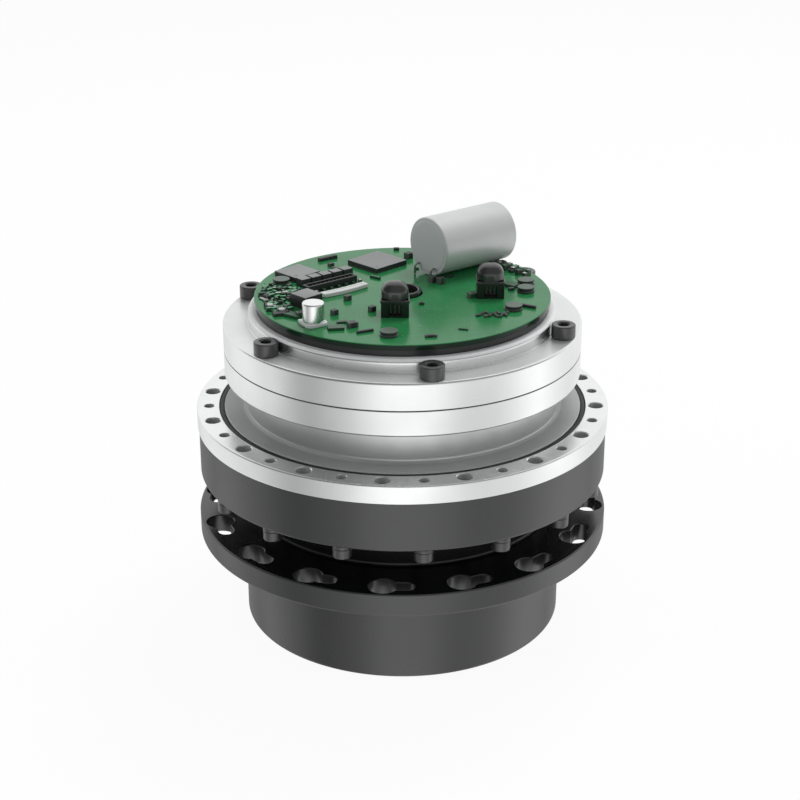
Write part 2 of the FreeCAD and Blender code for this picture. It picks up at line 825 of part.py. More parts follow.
def circular_spline():
    """Fixed gear ring with inward teeth, bolted under the motor housing's web."""
    pitch_r = spline_pitch_r
    points = []
    for i in range(SPLINE_TEETH):
        place = spline_tooth_place(i)
        points += tooth(pitch_r + DEDENDUM, pitch_r - ADDENDUM, SPLINE_TOOTH_W, pitch_r, place)
    body = tube(0, spline_r, gear_z, gear_top).cut(prism(points, gear_z - 1, gear_top + 1))
    shank = M3[0] + HOLE_GAP
    head = M3[1] + HOLE_GAP
    ring = (SPLINE_SCREW_COUNT, SPLINE_SCREW_ANGLE, gear_z - 1)
    cuts = holes_on(spline_screw_circle_r, shank, *ring, gear_top + 1)
    cuts += holes_on(spline_screw_circle_r, head, *ring, spline_screw_z)
    return body.cut(cuts)


def spline_screws():
    screw = cap_screw(M3, SPLINE_SCREW_L)
    ring = (SPLINE_SCREW_COUNT, SPLINE_SCREW_ANGLE, spline_screw_z)
    return screws_on(screw, spline_screw_circle_r, *ring, True)


def wave_generator():
    """Oval plug on the rotor shaft, with a shallow pocket on each side."""
    plug = oval_cylinder(plug_r, plug_z, plug_z + PLUG_T)
    plug = plug.fuse(tube(0, SHAFT_COLLAR_R, plug_z, plug_top))
    pocket = tube(SHAFT_COLLAR_R, plug_pocket_r, plug_z, plug_z + PLUG_POCKET_T)
    upper = moved(pocket, FreeCAD.Vector(0, 0, PLUG_T - PLUG_POCKET_T))
    bore = tube(0, SHAFT_TIP_R + BOND, plug_z, plug_top)
    return plug.cut([pocket, upper, bore])


def flex_bearing_inner():
    return oval_ring(plug_r + ROLLER_GAP, plug_r + RACE_T, plug_z, plug_z + PLUG_T)


def flex_bearing_outer():
    outer = band_bore_r - RUN
    inner = plug_r + RACE_T + FLEX_BALL_D + 2 * ROLLER_GAP
    return oval_ring(inner, outer, plug_z, plug_z + PLUG_T)


def flex_bearing_balls():
    """Balls between the two thin races, following the oval."""
    ring_r = plug_r + RACE_T + ROLLER_GAP + FLEX_BALL_D / 2
    balls = []
    for i in range(FLEX_BALL_COUNT):
        a = 2 * math.pi * i / FLEX_BALL_COUNT
        x = (ring_r + WAVE) * math.cos(a)
        y = (ring_r - WAVE) * math.sin(a)
        balls.append(Part.makeSphere(FLEX_BALL_D / 2, FreeCAD.Vector(x, y, plug_mid)))
    return group(balls)


def rotor_shaft():
    """Hollow shaft that the wave generator, rotor and encoder ring sit on."""
    profile = [
        (SHAFT_BORE_R, shaft_z),
        (SHAFT_TIP_R, shaft_z, 0.4),
        (SHAFT_TIP_R, plug_top),
        (SHAFT_R, plug_top),
        (SHAFT_R, lower_bearing_top),
        (SHAFT_COLLAR_R, lower_bearing_top),
        (SHAFT_COLLAR_R, disc_z),
        (SHAFT_R, disc_z),
        (SHAFT_R, shaft_top, 0.4),
        (SHAFT_BORE_R, shaft_top),
    ]
    return revolved(profile)


def shaft_nut():
    """Slotted ring nut that holds the wave generator on the shaft."""
    body = tube(SHAFT_TIP_R + BOND, NUT_R, nut_z, plug_z)
    notch = Part.makeBox(NUT_SLOT_W, NUT_SLOT_DEPTH * 2, NUT_T + 2)
    notch.translate(FreeCAD.Vector(-NUT_SLOT_W / 2, -NUT_R - NUT_SLOT_DEPTH, nut_z - 1))
    return body.cut(around(notch, 4))


def bearing_rings(inner, outer, z0, height):
    """The inner and outer ring of a shielded ball bearing."""
    split = (inner + outer) / 2 - 0.3
    c = 0.3
    z1 = z0 + height
    hub = [(inner, z0), (split, z0), (split, z1), (inner, z1)]
    rim = [
        (split + SHIELD_GAP, z0 + c),
        (outer - c * 3, z0 + c),
        (outer - c * 3, z0),
        (outer - c, z0),
        (outer, z0 + c),
        (outer, z1 - c),
        (outer - c, z1),
        (outer - c * 3, z1),
        (outer - c * 3, z1 - c),
        (split + SHIELD_GAP, z1 - c),
    ]
    return revolved(hub), revolved(rim)


def rotor_core():
    """Disc and back iron that carry the magnets round the brake."""
    ring_in = back_iron_r - BACK_IRON_T
    profile = [
        (SHAFT_R + BOND, disc_z),
        (ring_in, disc_z, 1.0),
        (ring_in, stack_z),
        (back_iron_r, stack_z),
        (back_iron_r, disc_top),
        (SHAFT_COLLAR_R - 0.4, disc_top),
        (SHAFT_COLLAR_R - 0.4, upper_bearing_z),
        (SHAFT_R + BOND, upper_bearing_z),
    ]
    body = revolved(profile)
    circle = (SHAFT_COLLAR_R + brake_inner_r) / 2
    return body.cut(holes_on(circle, ROTOR_HOLE_R, ROTOR_HOLE_COUNT, 0, disc_z - 1, disc_top + 1))


def rotor_magnets():
    """Curved magnets bonded on the back iron."""
    share = 360.0 / MAGNET_COUNT
    gap = math.degrees(MAGNET_GAP / magnet_r)
    inner = back_iron_r + BOND
    face = Part.Face(outline(
        [(inner, stack_z), (magnet_r, stack_z), (magnet_r, stack_top), (inner, stack_top)],
        lambda r, z: FreeCAD.Vector(r, 0, z)))
    one = face.revolve(O, UP, share - gap)
    return group(around(one, MAGNET_COUNT))


def slot_outline(half_width, r0, r1):
    """A slot's sides, parallel to its own middle line, at the front of the stator."""
    return [(-half_width, -r0), (half_width, -r0), (half_width, -r1), (-half_width, -r1)]


def stator_core():
    """Laminated ring with parallel slots that open inwards."""
    body = tube(stator_bore_r, stator_r, stack_z, stack_top)
    slot = prism(slot_outline(SLOT_W / 2, slot_inner_r, slot_outer_r), stack_z, stack_top)
    mouth = prism(slot_outline(SLOT_MOUTH_W / 2, stator_bore_r - 1, slot_inner_r + 1), stack_z, stack_top)
    return body.cut(around(slot.fuse(mouth), SLOT_COUNT))


def coil_outline(offset, r0, r1):
    """A tooth's outline, with its sides parallel to the slots beside it and set off from their middles."""
    half = math.radians(180.0 / SLOT_COUNT)
    points = []
    for side, radius in ((-1, r0), (1, r0), (1, r1), (-1, r1)):
        along = radius * math.cos(half)
        x = side * (radius * math.sin(half) - offset * math.cos(half))
        y = -(along + offset * math.sin(half))
        points.append((x, y))
    return points


def stator_coils():
    """One coil round each stator tooth."""
    outer = coil_outline(COIL_GAP, slot_inner_r + 0.6, slot_outer_r - 0.4)
    inner = coil_outline(SLOT_W / 2 - COIL_GAP, slot_inner_r - 1, slot_outer_r + 1)
    coil = prism(outer, coil_z, coil_top)
    coil = coil.cut(prism(inner, stack_z - COIL_GAP, stack_top + COIL_GAP))
    return group(around(coil, SLOT_COUNT, 180.0 / SLOT_COUNT))


def brake_body():
    """Steel pot of the brake magnet, standing on the motor floor round the bearing seat."""
    groove_in = brake_inner_r + BRAKE_POLE_W
    groove_out = brake_r - BRAKE_POLE_W
    profile = [
        (brake_inner_r, motor_floor),
        (brake_r, motor_floor),
        (brake_r, brake_top),
        (groove_out, brake_top),
        (groove_out, brake_top - BRAKE_GROOVE_H),
        (groove_in, brake_top - BRAKE_GROOVE_H),
        (groove_in, brake_top),
        (brake_inner_r, brake_top),
    ]
    circle = brake_r - BRAKE_POLE_W / 2
    return revolved(profile).cut(holes_on(circle, BRAKE_PIN_R, BRAKE_PIN_COUNT, 0, brake_top - 2, brake_top))


def brake_coil():
    groove_in = brake_inner_r + BRAKE_POLE_W
    groove_out = brake_r - BRAKE_POLE_W
    z0 = brake_top - BRAKE_GROOVE_H
    return tube(groove_in + SLIP, groove_out - SLIP, z0, z0 + BRAKE_COIL_H)


def brake_pins():
    """Pins that keep the armature plate from turning."""
    circle = brake_r - BRAKE_POLE_W / 2
    length = 2 + armature_top - brake_top - 0.3
    return group(around(rod(BRAKE_PIN_R, at(circle, 0, brake_top - 2), length), BRAKE_PIN_COUNT))


def brake_armature():
    """Plate that springs press on the lining, and that the coil pulls down to free the rotor."""
    body = tube(brake_inner_r + 0.1, brake_r, armature_z, armature_top)
    circle = brake_r - BRAKE_POLE_W / 2
    hole_r = BRAKE_PIN_R + 0.06
    return body.cut(holes_on(circle, hole_r, BRAKE_PIN_COUNT, 0, armature_z - 1, armature_top + 1))


def brake_lining():
    return tube(brake_inner_r + 0.1, brake_r - 0.1, armature_top + RUN, disc_z)


def motor_encoder_ring():
    """Magnet ring of the motor encoder, on its hub."""
    z1 = shaft_top - 0.1
    profile = [
        (SHAFT_R + BOND, upper_bearing_top),
        (SHAFT_COLLAR_R - 0.4, upper_bearing_top),
        (SHAFT_COLLAR_R - 0.4, z1 - MOTOR_RING_T),
        (MOTOR_RING_R, z1 - MOTOR_RING_T),
        (MOTOR_RING_R, z1),
        (SHAFT_R + BOND, z1),
    ]
    return revolved(profile)


def output_encoder_ring():
    """Magnet ring of the output encoder, on the tube that turns with the output."""
    z0 = shaft_top + 0.4
    return tube(TUBE_R + BOND, OUTPUT_RING_R, z0, z0 + OUTPUT_RING_T)


def cable_tube():
    """Hollow tube from the output hub up through the rotor to the driver board."""
    profile = [
        (TUBE_BORE_R, RECESS_H - TUBE_FLANGE_T, 0.4),
        (TUBE_FLANGE_R, RECESS_H - TUBE_FLANGE_T, 0.4),
        (TUBE_FLANGE_R, RECESS_H),
        (TUBE_R, RECESS_H),
        (TUBE_R, tube_top, 0.35),
        (TUBE_BORE_R, tube_top, 0.35),
    ]
    body = revolved(profile)
    cutter = countersink(at(TUBE_SCREW_CIRCLE_R, 0, RECESS_H - TUBE_FLANGE_T), DOWN, TUBE_FLANGE_T + 1)
    return body.cut(around(cutter, TUBE_SCREW_COUNT, TUBE_SCREW_ANGLE))


def tube_screws():
    screw = countersunk_screw(SMALL_SCREW_L)
    z = RECESS_H - TUBE_FLANGE_T
    return screws_on(screw, TUBE_SCREW_CIRCLE_R, TUBE_SCREW_COUNT, TUBE_SCREW_ANGLE, z, True)


def press_plate():
    """Thick washer that clamps the flexspline's boss to the output web."""
    body = tube(TUBE_R + PRESS_PLATE_GAP, CUP_BOSS_R - 0.5, boss_z, plate_top)
    hole_r = M3[0] + HOLE_GAP
    return body.cut(holes_on(BOSS_SCREW_CIRCLE_R, hole_r, BOSS_SCREW_COUNT, 0, boss_z - 1, plate_top + 1))


def boss_screws():
    screw = cap_screw(M3, BOSS_SCREW_L)
    return screws_on(screw, BOSS_SCREW_CIRCLE_R, BOSS_SCREW_COUNT, 0, plate_top)


# Driver board and what is soldered to it
BOARD_HOLE_GAP = 0.4
STANDOFF_R = 3.0
STANDOFF_COUNT = 4
STANDOFF_CIRCLE_R = 34.0
STANDOFF_ANGLE = 20.0
CAPACITOR_R = 9.0
CAPACITOR_L = 28.0
CAPACITOR_END = (7.7, 15.9)
CAPACITOR_ANGLE = 38.0
CAPACITOR_EDGE = 0.7
LEAD_R = 0.4
LEAD_PITCH = 7.5
LEAD_REACH = 2.0
BIG_CHIP_T = 1.4
BIG_CHIP_EDGE = 0.2
BIG_CHIPS = ((-7.8, 26.6, 13.0), (-32.0, 15.8, 9.8))
CHIP_TILT = 45.0
STAND = 0.1
SMD_R = 3.15
SMD_L = 6.6
SMD_WAIST = 0.2
SMD_BASE_W = 6.6
SMD_BASE_T = 1.0
SMD_PLACE = (-25.0, -27.2)
SMD_TILT = 30.0
INDUCTOR_SIZE = (6.8, 6.8, 3.9)
INDUCTOR_EDGE = 0.5
INDUCTOR_PLACE = (-27.8, -11.7)
ROW_TILT = 38.0
ROW_STEP = 3.9
ROW_COUNT = 5
ROW_START = (-29.6, 6.6)
ROW_BLOCK = (3.4, 3.2, 2.4)
ROW_EDGE = 0.3
HEADER_PLACE = (-21.6, 5.0)
HEADER_SIZE = (18.0, 3.0, 2.2)
HEADER_WALL = 0.6
HEADER_FLOOR = 0.6
RIBBON_PLACE = (-17.3, 0.7)
RIBBON_L = 16.0
RIBBON_T = 1.3
RIBBON_ENDS = (2.6, 1.7)
RIBBON_BOW = 0.7
DISC_R = 2.6
DISC_T = 1.5
DISC_WAIST = 0.25
DISC_RIM_T = 0.4
DISC_PLACES = ((37.0, 8.0), (36.6, 1.2), (32.0, -14.7), (-3.7, -36.0), (-36.4, 8.5))
PLUG_W = 8.0
PLUG_D = 7.0
PLUG_H = 5.2
PLUG_BAND_T = 0.9
PLUG_BAND_STEP = 0.2
PLUG_CAP_H = 4.6
PLUG_CAP_CORNER = 1.6
PLUG_CAP_EDGE = 2.8
POWER_PLACE = (-2.1, -18.6)
SIGNAL_PLACE = (25.8, -2.3)
CAVITY_W = 3.9
CAVITY_H = 3.2
CAVITY_FLOOR = 0.6


def standing_edges(body):
    """The edges of a block that run up and down."""
    return [e for e in body.Edges if abs(e.Vertexes[0].Z - e.Vertexes[1].Z) > 1e-6]


def edges_at(body, z):
    """The edges of a block that lie at one height."""
    return [e for e in body.Edges if all(abs(v.Z - z) < 1e-6 for v in e.Vertexes)]


def block(size, place, tilt, z0):
    """A block centred at place and turned about the vertical."""
    length, width, height = size
    body = Part.makeBox(length, width, height, FreeCAD.Vector(-length / 2, -width / 2, 0))
    body.rotate(O, UP, tilt)
    body.translate(FreeCAD.Vector(place[0], place[1], z0))
    return body


def driver_board():
    """Round circuit board with a hole for the tube."""
    return tube(TUBE_R + BOARD_HOLE_GAP, board_r, board_z, board_top)


def board_spacer():
    """Black ring between the drum's boss and the board."""
    return tube(spacer_r - SPACER_W, spacer_r, boss_top, board_z)


def board_standoffs():
    """Posts between the cover plate and the underside of the board."""
    post = rod(STANDOFF_R, at(STANDOFF_CIRCLE_R, 0, drum_top), board_z - drum_top)
    return group(around(post, STANDOFF_COUNT, STANDOFF_ANGLE))


def encoder_readers():
    """Reader chips under the board, one over each magnet ring."""
    z0 = board_z - READER_T
    outer = (SHAFT_COLLAR_R + MOTOR_RING_R) / 2
    size = (READER_L, READER_L, READER_T)
    over_motor = block(size, (0, -outer), 0, z0)
    over_output = block(size, (0, OUTPUT_RING_R), 0, z0)
    return group([over_motor, over_output])


def bulk_capacitor():
    """Big can lying on the board, one end near the middle and the other past the rim."""
    can = revolved([
        (0, 0),
        (CAPACITOR_R, 0, CAPACITOR_EDGE),
        (CAPACITOR_R, CAPACITOR_L, CAPACITOR_EDGE),
        (0, CAPACITOR_L),
    ])
    can.rotate(O, FreeCAD.Vector(0, 1, 0), 90)
    can.rotate(O, UP, CAPACITOR_ANGLE)
    can.translate(FreeCAD.Vector(*CAPACITOR_END, board_top + CAPACITOR_R + STAND))
    return can


def capacitor_leads():
    """Two wires from the can's inner end, bent down to the board."""
    solids = []
    for side in (-1, 1):
        z = CAPACITOR_R * 0.35
        out = rod(LEAD_R, FreeCAD.Vector(-LEAD_REACH, 0, z), LEAD_REACH, FreeCAD.Vector(1, 0, 0))
        knee = Part.makeSphere(LEAD_R, FreeCAD.Vector(-LEAD_REACH, 0, z))
        down = rod(LEAD_R, FreeCAD.Vector(-LEAD_REACH, 0, 0), z)
        lead = out.fuse([knee, down])
        lead.translate(FreeCAD.Vector(0, side * LEAD_PITCH / 2, 0))
        lead.rotate(O, UP, CAPACITOR_ANGLE)
        lead.translate(FreeCAD.Vector(*CAPACITOR_END, board_top))
        solids.append(lead)
    return group(solids)


def large_chips():
    """The two big flat chips, set corner on."""
    z0 = board_top + STAND
    chips = []
    for x, y, width in BIG_CHIPS:
        chip = block((width, width, BIG_CHIP_T), (x, y), CHIP_TILT, z0)
        chips.append(chip.makeChamfer(BIG_CHIP_EDGE, edges_at(chip, z0 + BIG_CHIP_T)))
    return group(chips)


def smd_capacitor():
    """Small upright can on its square foot."""
    foot = prism(
        [
            (-SMD_BASE_W / 2, -SMD_BASE_W / 2, 0.9),
            (SMD_BASE_W / 2, -SMD_BASE_W / 2, 0.9),
            (SMD_BASE_W / 2, SMD_BASE_W / 2, 0.3),
            (-SMD_BASE_W / 2, SMD_BASE_W / 2, 0.3),
        ],
        0, SMD_BASE_T)
    waist_r = SMD_R - SMD_WAIST
    can = revolved([
        (0, SMD_BASE_T),
        (SMD_R, SMD_BASE_T),
        (SMD_R, SMD_BASE_T + 0.5),
        (waist_r, SMD_BASE_T + 0.8, 0.2),
        (SMD_R, SMD_BASE_T + 1.1),
        (SMD_R, SMD_L, 0.5),
        (0, SMD_L),
    ])
    body = foot.fuse(can)
    body.rotate(O, UP, SMD_TILT)
    body.translate(FreeCAD.Vector(*SMD_PLACE, board_top))
    return body


def power_inductor():
    """Square moulded choke with its corners taken off."""
    body = block(INDUCTOR_SIZE, INDUCTOR_PLACE, CHIP_TILT, board_top)
    return body.makeFillet(INDUCTOR_EDGE, standing_edges(body))


def phase_drivers():
    """A slanting row of small power packages."""
    a = math.radians(ROW_TILT)
    solids = []
    for i in range(ROW_COUNT):
        x = ROW_START[0] + i * ROW_STEP * math.cos(a)
        y = ROW_START[1] + i * ROW_STEP * math.sin(a)
        body = block(ROW_BLOCK, (x, y), ROW_TILT, board_top)
        solids.append(body.makeChamfer(ROW_EDGE, edges_at(body, board_top + ROW_BLOCK[2])))
    return group(solids)


def header_connector():
    """Long header with an open well."""
    length, width, height = HEADER_SIZE
    body = block(HEADER_SIZE, HEADER_PLACE, ROW_TILT, board_top)
    well = (length - 2 * HEADER_WALL, width - 2 * HEADER_WALL, height)
    return body.cut(block(well, HEADER_PLACE, ROW_TILT, board_top + HEADER_FLOOR))


def ribbon_connector():
    """Flat white socket, bowed to the front and narrower at its far end."""
    half = RIBBON_L / 2
    wide, narrow = RIBBON_ENDS
    corners = [
        FreeCAD.Vector(-half, -wide / 2, 0),
        FreeCAD.Vector(half, -narrow / 2, 0),
        FreeCAD.Vector(half, narrow / 2, 0),
        FreeCAD.Vector(-half, wide / 2, 0),
    ]
    bow = FreeCAD.Vector(0, -RIBBON_BOW, 0)
    front = Part.Arc(corners[0], (corners[0] + corners[1]) * 0.5 + bow, corners[1])
    back = Part.Arc(corners[2], (corners[2] + corners[3]) * 0.5 + bow, corners[3])
    ends = [Part.LineSegment(corners[1], corners[2]), Part.LineSegment(corners[3], corners[0])]
    wire = Part.Wire([front.toShape(), ends[0].toShape(), back.toShape(), ends[1].toShape()])
    body = Part.Face(wire).extrude(FreeCAD.Vector(0, 0, RIBBON_T))
    body.rotate(O, UP, ROW_TILT)
    body.translate(FreeCAD.Vector(*RIBBON_PLACE, board_top))
    return body


def round_inductors():
    """Low round parts near the rim of the board."""
    waist_r = DISC_R - DISC_WAIST
    profile = [
        (0, 0),
        (DISC_R, 0),
        (DISC_R, DISC_RIM_T),
        (waist_r, DISC_RIM_T),
        (waist_r, DISC_T - DISC_RIM_T),
        (DISC_R, DISC_T - DISC_RIM_T),
        (DISC_R, DISC_T, 0.15),
        (0, DISC_T),
    ]
    one = revolved(profile)
    return group([moved(one, FreeCAD.Vector(x, y, board_top)) for x, y in DISC_PLACES])


def board_plug(place):
    """Upright wire connector: an open socket with a band round it, and a plug with a rounded back."""
    body = block((PLUG_W, PLUG_D, PLUG_H), (0, 0), 0, 0)
    cavity = Part.makeBox(CAVITY_W, PLUG_D / 2, CAVITY_H)
    cavity.translate(FreeCAD.Vector(-CAVITY_W / 2, -PLUG_D / 2, CAVITY_FLOOR))
    band_size = (PLUG_W + 2 * PLUG_BAND_STEP, PLUG_D + 2 * PLUG_BAND_STEP, PLUG_BAND_T)
    band = block(band_size, (0, 0), 0, PLUG_H - PLUG_BAND_T)
    cap = block((PLUG_W - PLUG_BAND_STEP, PLUG_D - PLUG_BAND_STEP, PLUG_CAP_H), (0, 0), 0, PLUG_H)
    cap = cap.makeFillet(PLUG_CAP_CORNER, standing_edges(cap))
    cap = cap.makeFillet(PLUG_CAP_EDGE, edges_at(cap, PLUG_H + PLUG_CAP_H))
    body = body.cut(cavity).fuse([band, cap])
    body.translate(FreeCAD.Vector(place[0], place[1], board_top))
    return body


def save(name, shape):
    """Writes one sub-part, after a look at whether it is sound."""
    bad = [s for s in shape.Solids if not s.isValid() or s.Volume <= 0]
    print(name, len(shape.Solids), "solids", round(sum(s.Volume for s in shape.Solids), 2), "mm3",
          "UNSOUND" if bad or not shape.Solids else "")
    shape.exportStep("parts/" + name + ".step")


lower_inner, lower_outer = bearing_rings(SHAFT_R, LOWER_BEARING_R, lower_bearing_z, LOWER_BEARING_H)
upper_inner, upper_outer = bearing_rings(SHAFT_R, UPPER_BEARING_R, upper_bearing_z, UPPER_BEARING_H)

save("output_flange", output_flange())
save("bearing_inner_ring", bearing_inner_ring())
save("bearing_clamp_ring", bearing_clamp_ring())
save("clamp_ring_screws", clamp_ring_screws())
save("flexspline", flexspline())
save("press_plate", press_plate())
save("boss_screws", boss_screws())
save("cable_tube", cable_tube())
save("tube_screws", tube_screws())
save("output_encoder_ring", output_encoder_ring())
save("crossed_rollers", crossed_rollers())
save("rotor_shaft", rotor_shaft())
save("wave_generator", wave_generator())
save("flex_bearing_inner", flex_bearing_inner())
save("flex_bearing_balls", flex_bearing_balls())
save("flex_bearing_outer", flex_bearing_outer())
save("shaft_nut", shaft_nut())
save("rotor_core", rotor_core())
save("rotor_magnets", rotor_magnets())
save("lower_bearing_inner", lower_inner)
save("upper_bearing_inner", upper_inner)
save("brake_lining", brake_lining())
save("motor_encoder_ring", motor_encoder_ring())
save("brake_armature", brake_armature())
save("bearing_housing", bearing_housing())
save("bearing_outer_ring", bearing_outer_ring())
save("shaft_seal", shaft_seal())
save("clamp_screws", clamp_screws())
save("clamp_washers", clamp_washers())
save("mount_ring", mount_ring())
save("foot_screws", foot_screws())
save("seal_ring", seal_ring())
save("motor_housing", motor_housing())
save("drum_cover", drum_cover())
save("drum_screws", drum_screws())
save("circular_spline", circular_spline())
save("spline_screws", spline_screws())
save("stator_core", stator_core())
save("stator_coils", stator_coils())
save("lower_bearing_outer", lower_outer)
save("upper_bearing_outer", upper_outer)
save("brake_body", brake_body())
save("brake_coil", brake_coil())
save("brake_pins", brake_pins())
save("board_spacer", board_spacer())
save("board_standoffs", board_standoffs())
save("driver_board", driver_board())
save("encoder_readers", encoder_readers())
save("bulk_capacitor", bulk_capacitor())
save("capacitor_leads", capacitor_leads())
save("large_chips", large_chips())
save("smd_capacitor", smd_capacitor())
save("power_inductor", power_inductor())
save("phase_drivers", phase_drivers())
save("header_connector", header_connector())
save("ribbon_connector", ribbon_connector())
save("round_inductors", round_inductors())
save("power_plug", board_plug(POWER_PLACE))
save("signal_plug", board_plug(SIGNAL_PLACE))
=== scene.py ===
import json
import math
import random

import bpy
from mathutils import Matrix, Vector


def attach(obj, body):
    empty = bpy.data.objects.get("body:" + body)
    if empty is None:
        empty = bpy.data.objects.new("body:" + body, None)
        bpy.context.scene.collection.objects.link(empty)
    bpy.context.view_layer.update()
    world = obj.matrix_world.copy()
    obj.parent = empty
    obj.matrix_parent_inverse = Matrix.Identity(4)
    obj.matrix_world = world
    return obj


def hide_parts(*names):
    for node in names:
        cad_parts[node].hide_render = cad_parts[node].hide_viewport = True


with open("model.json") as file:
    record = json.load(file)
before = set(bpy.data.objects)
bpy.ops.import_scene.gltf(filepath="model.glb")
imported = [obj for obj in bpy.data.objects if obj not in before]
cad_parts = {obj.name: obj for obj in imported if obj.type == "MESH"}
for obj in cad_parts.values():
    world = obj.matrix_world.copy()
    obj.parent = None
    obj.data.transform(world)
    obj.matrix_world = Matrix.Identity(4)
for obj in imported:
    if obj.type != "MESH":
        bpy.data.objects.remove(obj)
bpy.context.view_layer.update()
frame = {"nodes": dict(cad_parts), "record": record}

# Robot joint actuator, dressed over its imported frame.
# Lengths are written in millimetres and turned into metres by mm(); the studio's are in metres.
# Angles are in degrees from the front (-Y) towards +X.

# Heights where stacked pieces meet
RECESS_TOP = 20.0
FLANGE_RELIEF, FLANGE_TOP = 29.7, 35.1
CASING_LOW, BEARING_SEAT = 48.0, 50.8
RING_LOW, FOOT_SEAT, RING_TOP = 62.8, 65.3, 68.3
DRUM_LOW, SEAM, LEDGE, BOSS_RIM = 78.8, 86.5, 94.7, 98.6
BOARD_LOW, BOARD_TOP = 100.6, 102.2

# Radii that the two drums share
DRUM_R, JOINT_R, BORE_R = 53.25, 46.3, 45.05

# Holes of the flange, the casing and the ring
BOLT_COUNT = 16
BOLT_CIRCLE = 58.3
BOLT_HOLE = 2.2
MOUNT_ANGLE = -5.45
CLAMP_ANGLE = MOUNT_ANGLE + 180.0 / BOLT_COUNT
WASHER = 1.0

# The lying can and the rows beside it
SLANT = 38
ALONG = Vector((math.cos(math.radians(SLANT)), math.sin(math.radians(SLANT))))
CAN_R = 9.0
CAN_PLACE = (7.7, 15.9)

# Steps of a large ring, the angle above which flat pieces keep an edge, and the doubles' distance in metres
ROUND = 256
FLAT = 20
MERGE = 2e-6


def mm(*values):
    """Millimetres to metres: one number, or a point."""
    if len(values) == 1:
        return values[0] * 0.001
    return Vector(v * 0.001 for v in values)


# Modelling, as by hand

def put_down():
    """Leaves edit mode and deselects everything."""
    if bpy.context.object and bpy.context.object.mode != "OBJECT":
        bpy.ops.object.mode_set(mode="OBJECT")
    bpy.ops.object.select_all(action="DESELECT")


def pick(piece):
    """Selects one piece alone."""
    put_down()
    piece.select_set(True)
    bpy.context.view_layer.objects.active = piece


def open_up(merge=False):
    """Edit mode with all of the active piece selected, and its doubles merged if asked."""
    bpy.ops.object.mode_set(mode="EDIT")
    bpy.ops.mesh.select_all(action="SELECT")
    if merge:
        bpy.ops.mesh.remove_doubles(threshold=MERGE)
        bpy.ops.mesh.select_all(action="SELECT")


def settle(piece):
    """Moves the piece's place, turn and size into its mesh."""
    pick(piece)
    bpy.ops.object.transform_apply(location=True, rotation=True, scale=True)
    return piece


def smooth(piece, angle=32):
    pick(piece)
    bpy.ops.object.shade_smooth_by_angle(angle=math.radians(angle))
    return piece


def outward(piece):
    """Merges doubles and turns every face outwards."""
    pick(piece)
    open_up(merge=True)
    bpy.ops.mesh.normals_make_consistent(inside=False)
    bpy.ops.object.mode_set(mode="OBJECT")
    return piece


def apply(piece, modifier):
    pick(piece)
    bpy.ops.object.modifier_apply(modifier=modifier.name)
    return piece


def bevelled(piece, width, segments=3, angle=35):
    bevel = piece.modifiers.new("edge", "BEVEL")
    bevel.width = mm(width)
    bevel.segments = segments
    bevel.limit_method = "ANGLE"
    bevel.angle_limit = math.radians(angle)
    return apply(piece, bevel)


def cut(piece, tool):
    """Takes the tool's shape out of the piece and puts the tool away."""
    boolean = piece.modifiers.new("cut", "BOOLEAN")
    boolean.operation = "DIFFERENCE"
    boolean.solver = "EXACT"
    boolean.object = tool
    apply(piece, boolean)
    bpy.data.objects.remove(tool)
    return piece


def joined(name, pieces):
    put_down()
    for piece in pieces:
        piece.select_set(True)
    bpy.context.view_layer.objects.active = pieces[0]
    bpy.ops.object.join()
    pieces[0].name = name
    return pieces[0]


def copy_of(piece):
    pick(piece)
    bpy.ops.object.duplicate()
    return bpy.context.object


def turned_by(piece, degrees):
    """Turns a finished piece about the main axis."""
    piece.rotation_euler = (0, 0, math.radians(degrees))
    return settle(piece)


def ring_of(name, piece, count, start=0.0):
    """Copies of a piece made at the front, spaced evenly about the axis."""
    copies = [piece] + [copy_of(piece) for _ in range(count - 1)]
    for i, one in enumerate(copies):
        turned_by(one, start + i * 360.0 / count)
    return joined(name, copies)


def arc(before, here, after, radius, steps):
    """Points of a rounded corner."""
    u = (before - here).normalized()
    v = (after - here).normalized()
    half = u.angle(v) / 2
    limit = 0.48 * min((before - here).length, (after - here).length)
    reach = min(radius / math.tan(half), limit)
    radius = reach * math.tan(half)
    centre = here + (u + v).normalized() * (radius / math.sin(half))
    a = here + u * reach - centre
    b = here + v * reach - centre
    return [centre + (a * (1 - k / steps) + b * (k / steps)).normalized() * radius for k in range(steps + 1)]


def rounded(profile, edge, closed=True):
    """The profile with its corners rounded: by their third number, or else by edge."""
    spots = [Vector(p[:2]) for p in profile]
    points = []
    for i, spot in enumerate(spots):
        radius = profile[i][2] if len(profile[i]) > 2 else edge
        if radius == 0 or (not closed and i in (0, len(spots) - 1)):
            points.append(spot)
        else:
            steps = 6 if radius > 0.6 else 3
            points += arc(spots[i - 1], spot, spots[(i + 1) % len(spots)], radius, steps)
    return points


def held(points, closed, reach=0.3):
    """Adds a point close to both ends of each long straight, so that flats stay flat when shaded smooth."""
    kept = []
    for here, there in zip(points, points[1:] + points[:1]):
        kept.append(here)
        span = there - here
        if span.length > 4 * reach and (closed or there is not points[0]):
            step = span * (reach / span.length)
            kept += [here + step, there - step]
    return kept


def drawn(name, points):
    """A line pulled out of one vertex, point after point."""
    bpy.ops.mesh.primitive_plane_add(size=0.001, location=points[0])
    piece = bpy.context.object
    piece.name = name
    open_up()
    bpy.ops.mesh.merge(type="CENTER")
    bpy.ops.mesh.select_all(action="SELECT")
    for here, there in zip(points, points[1:]):
        bpy.ops.mesh.extrude_vertices_move(TRANSFORM_OT_translate={"value": there - here})
    return settle(piece)


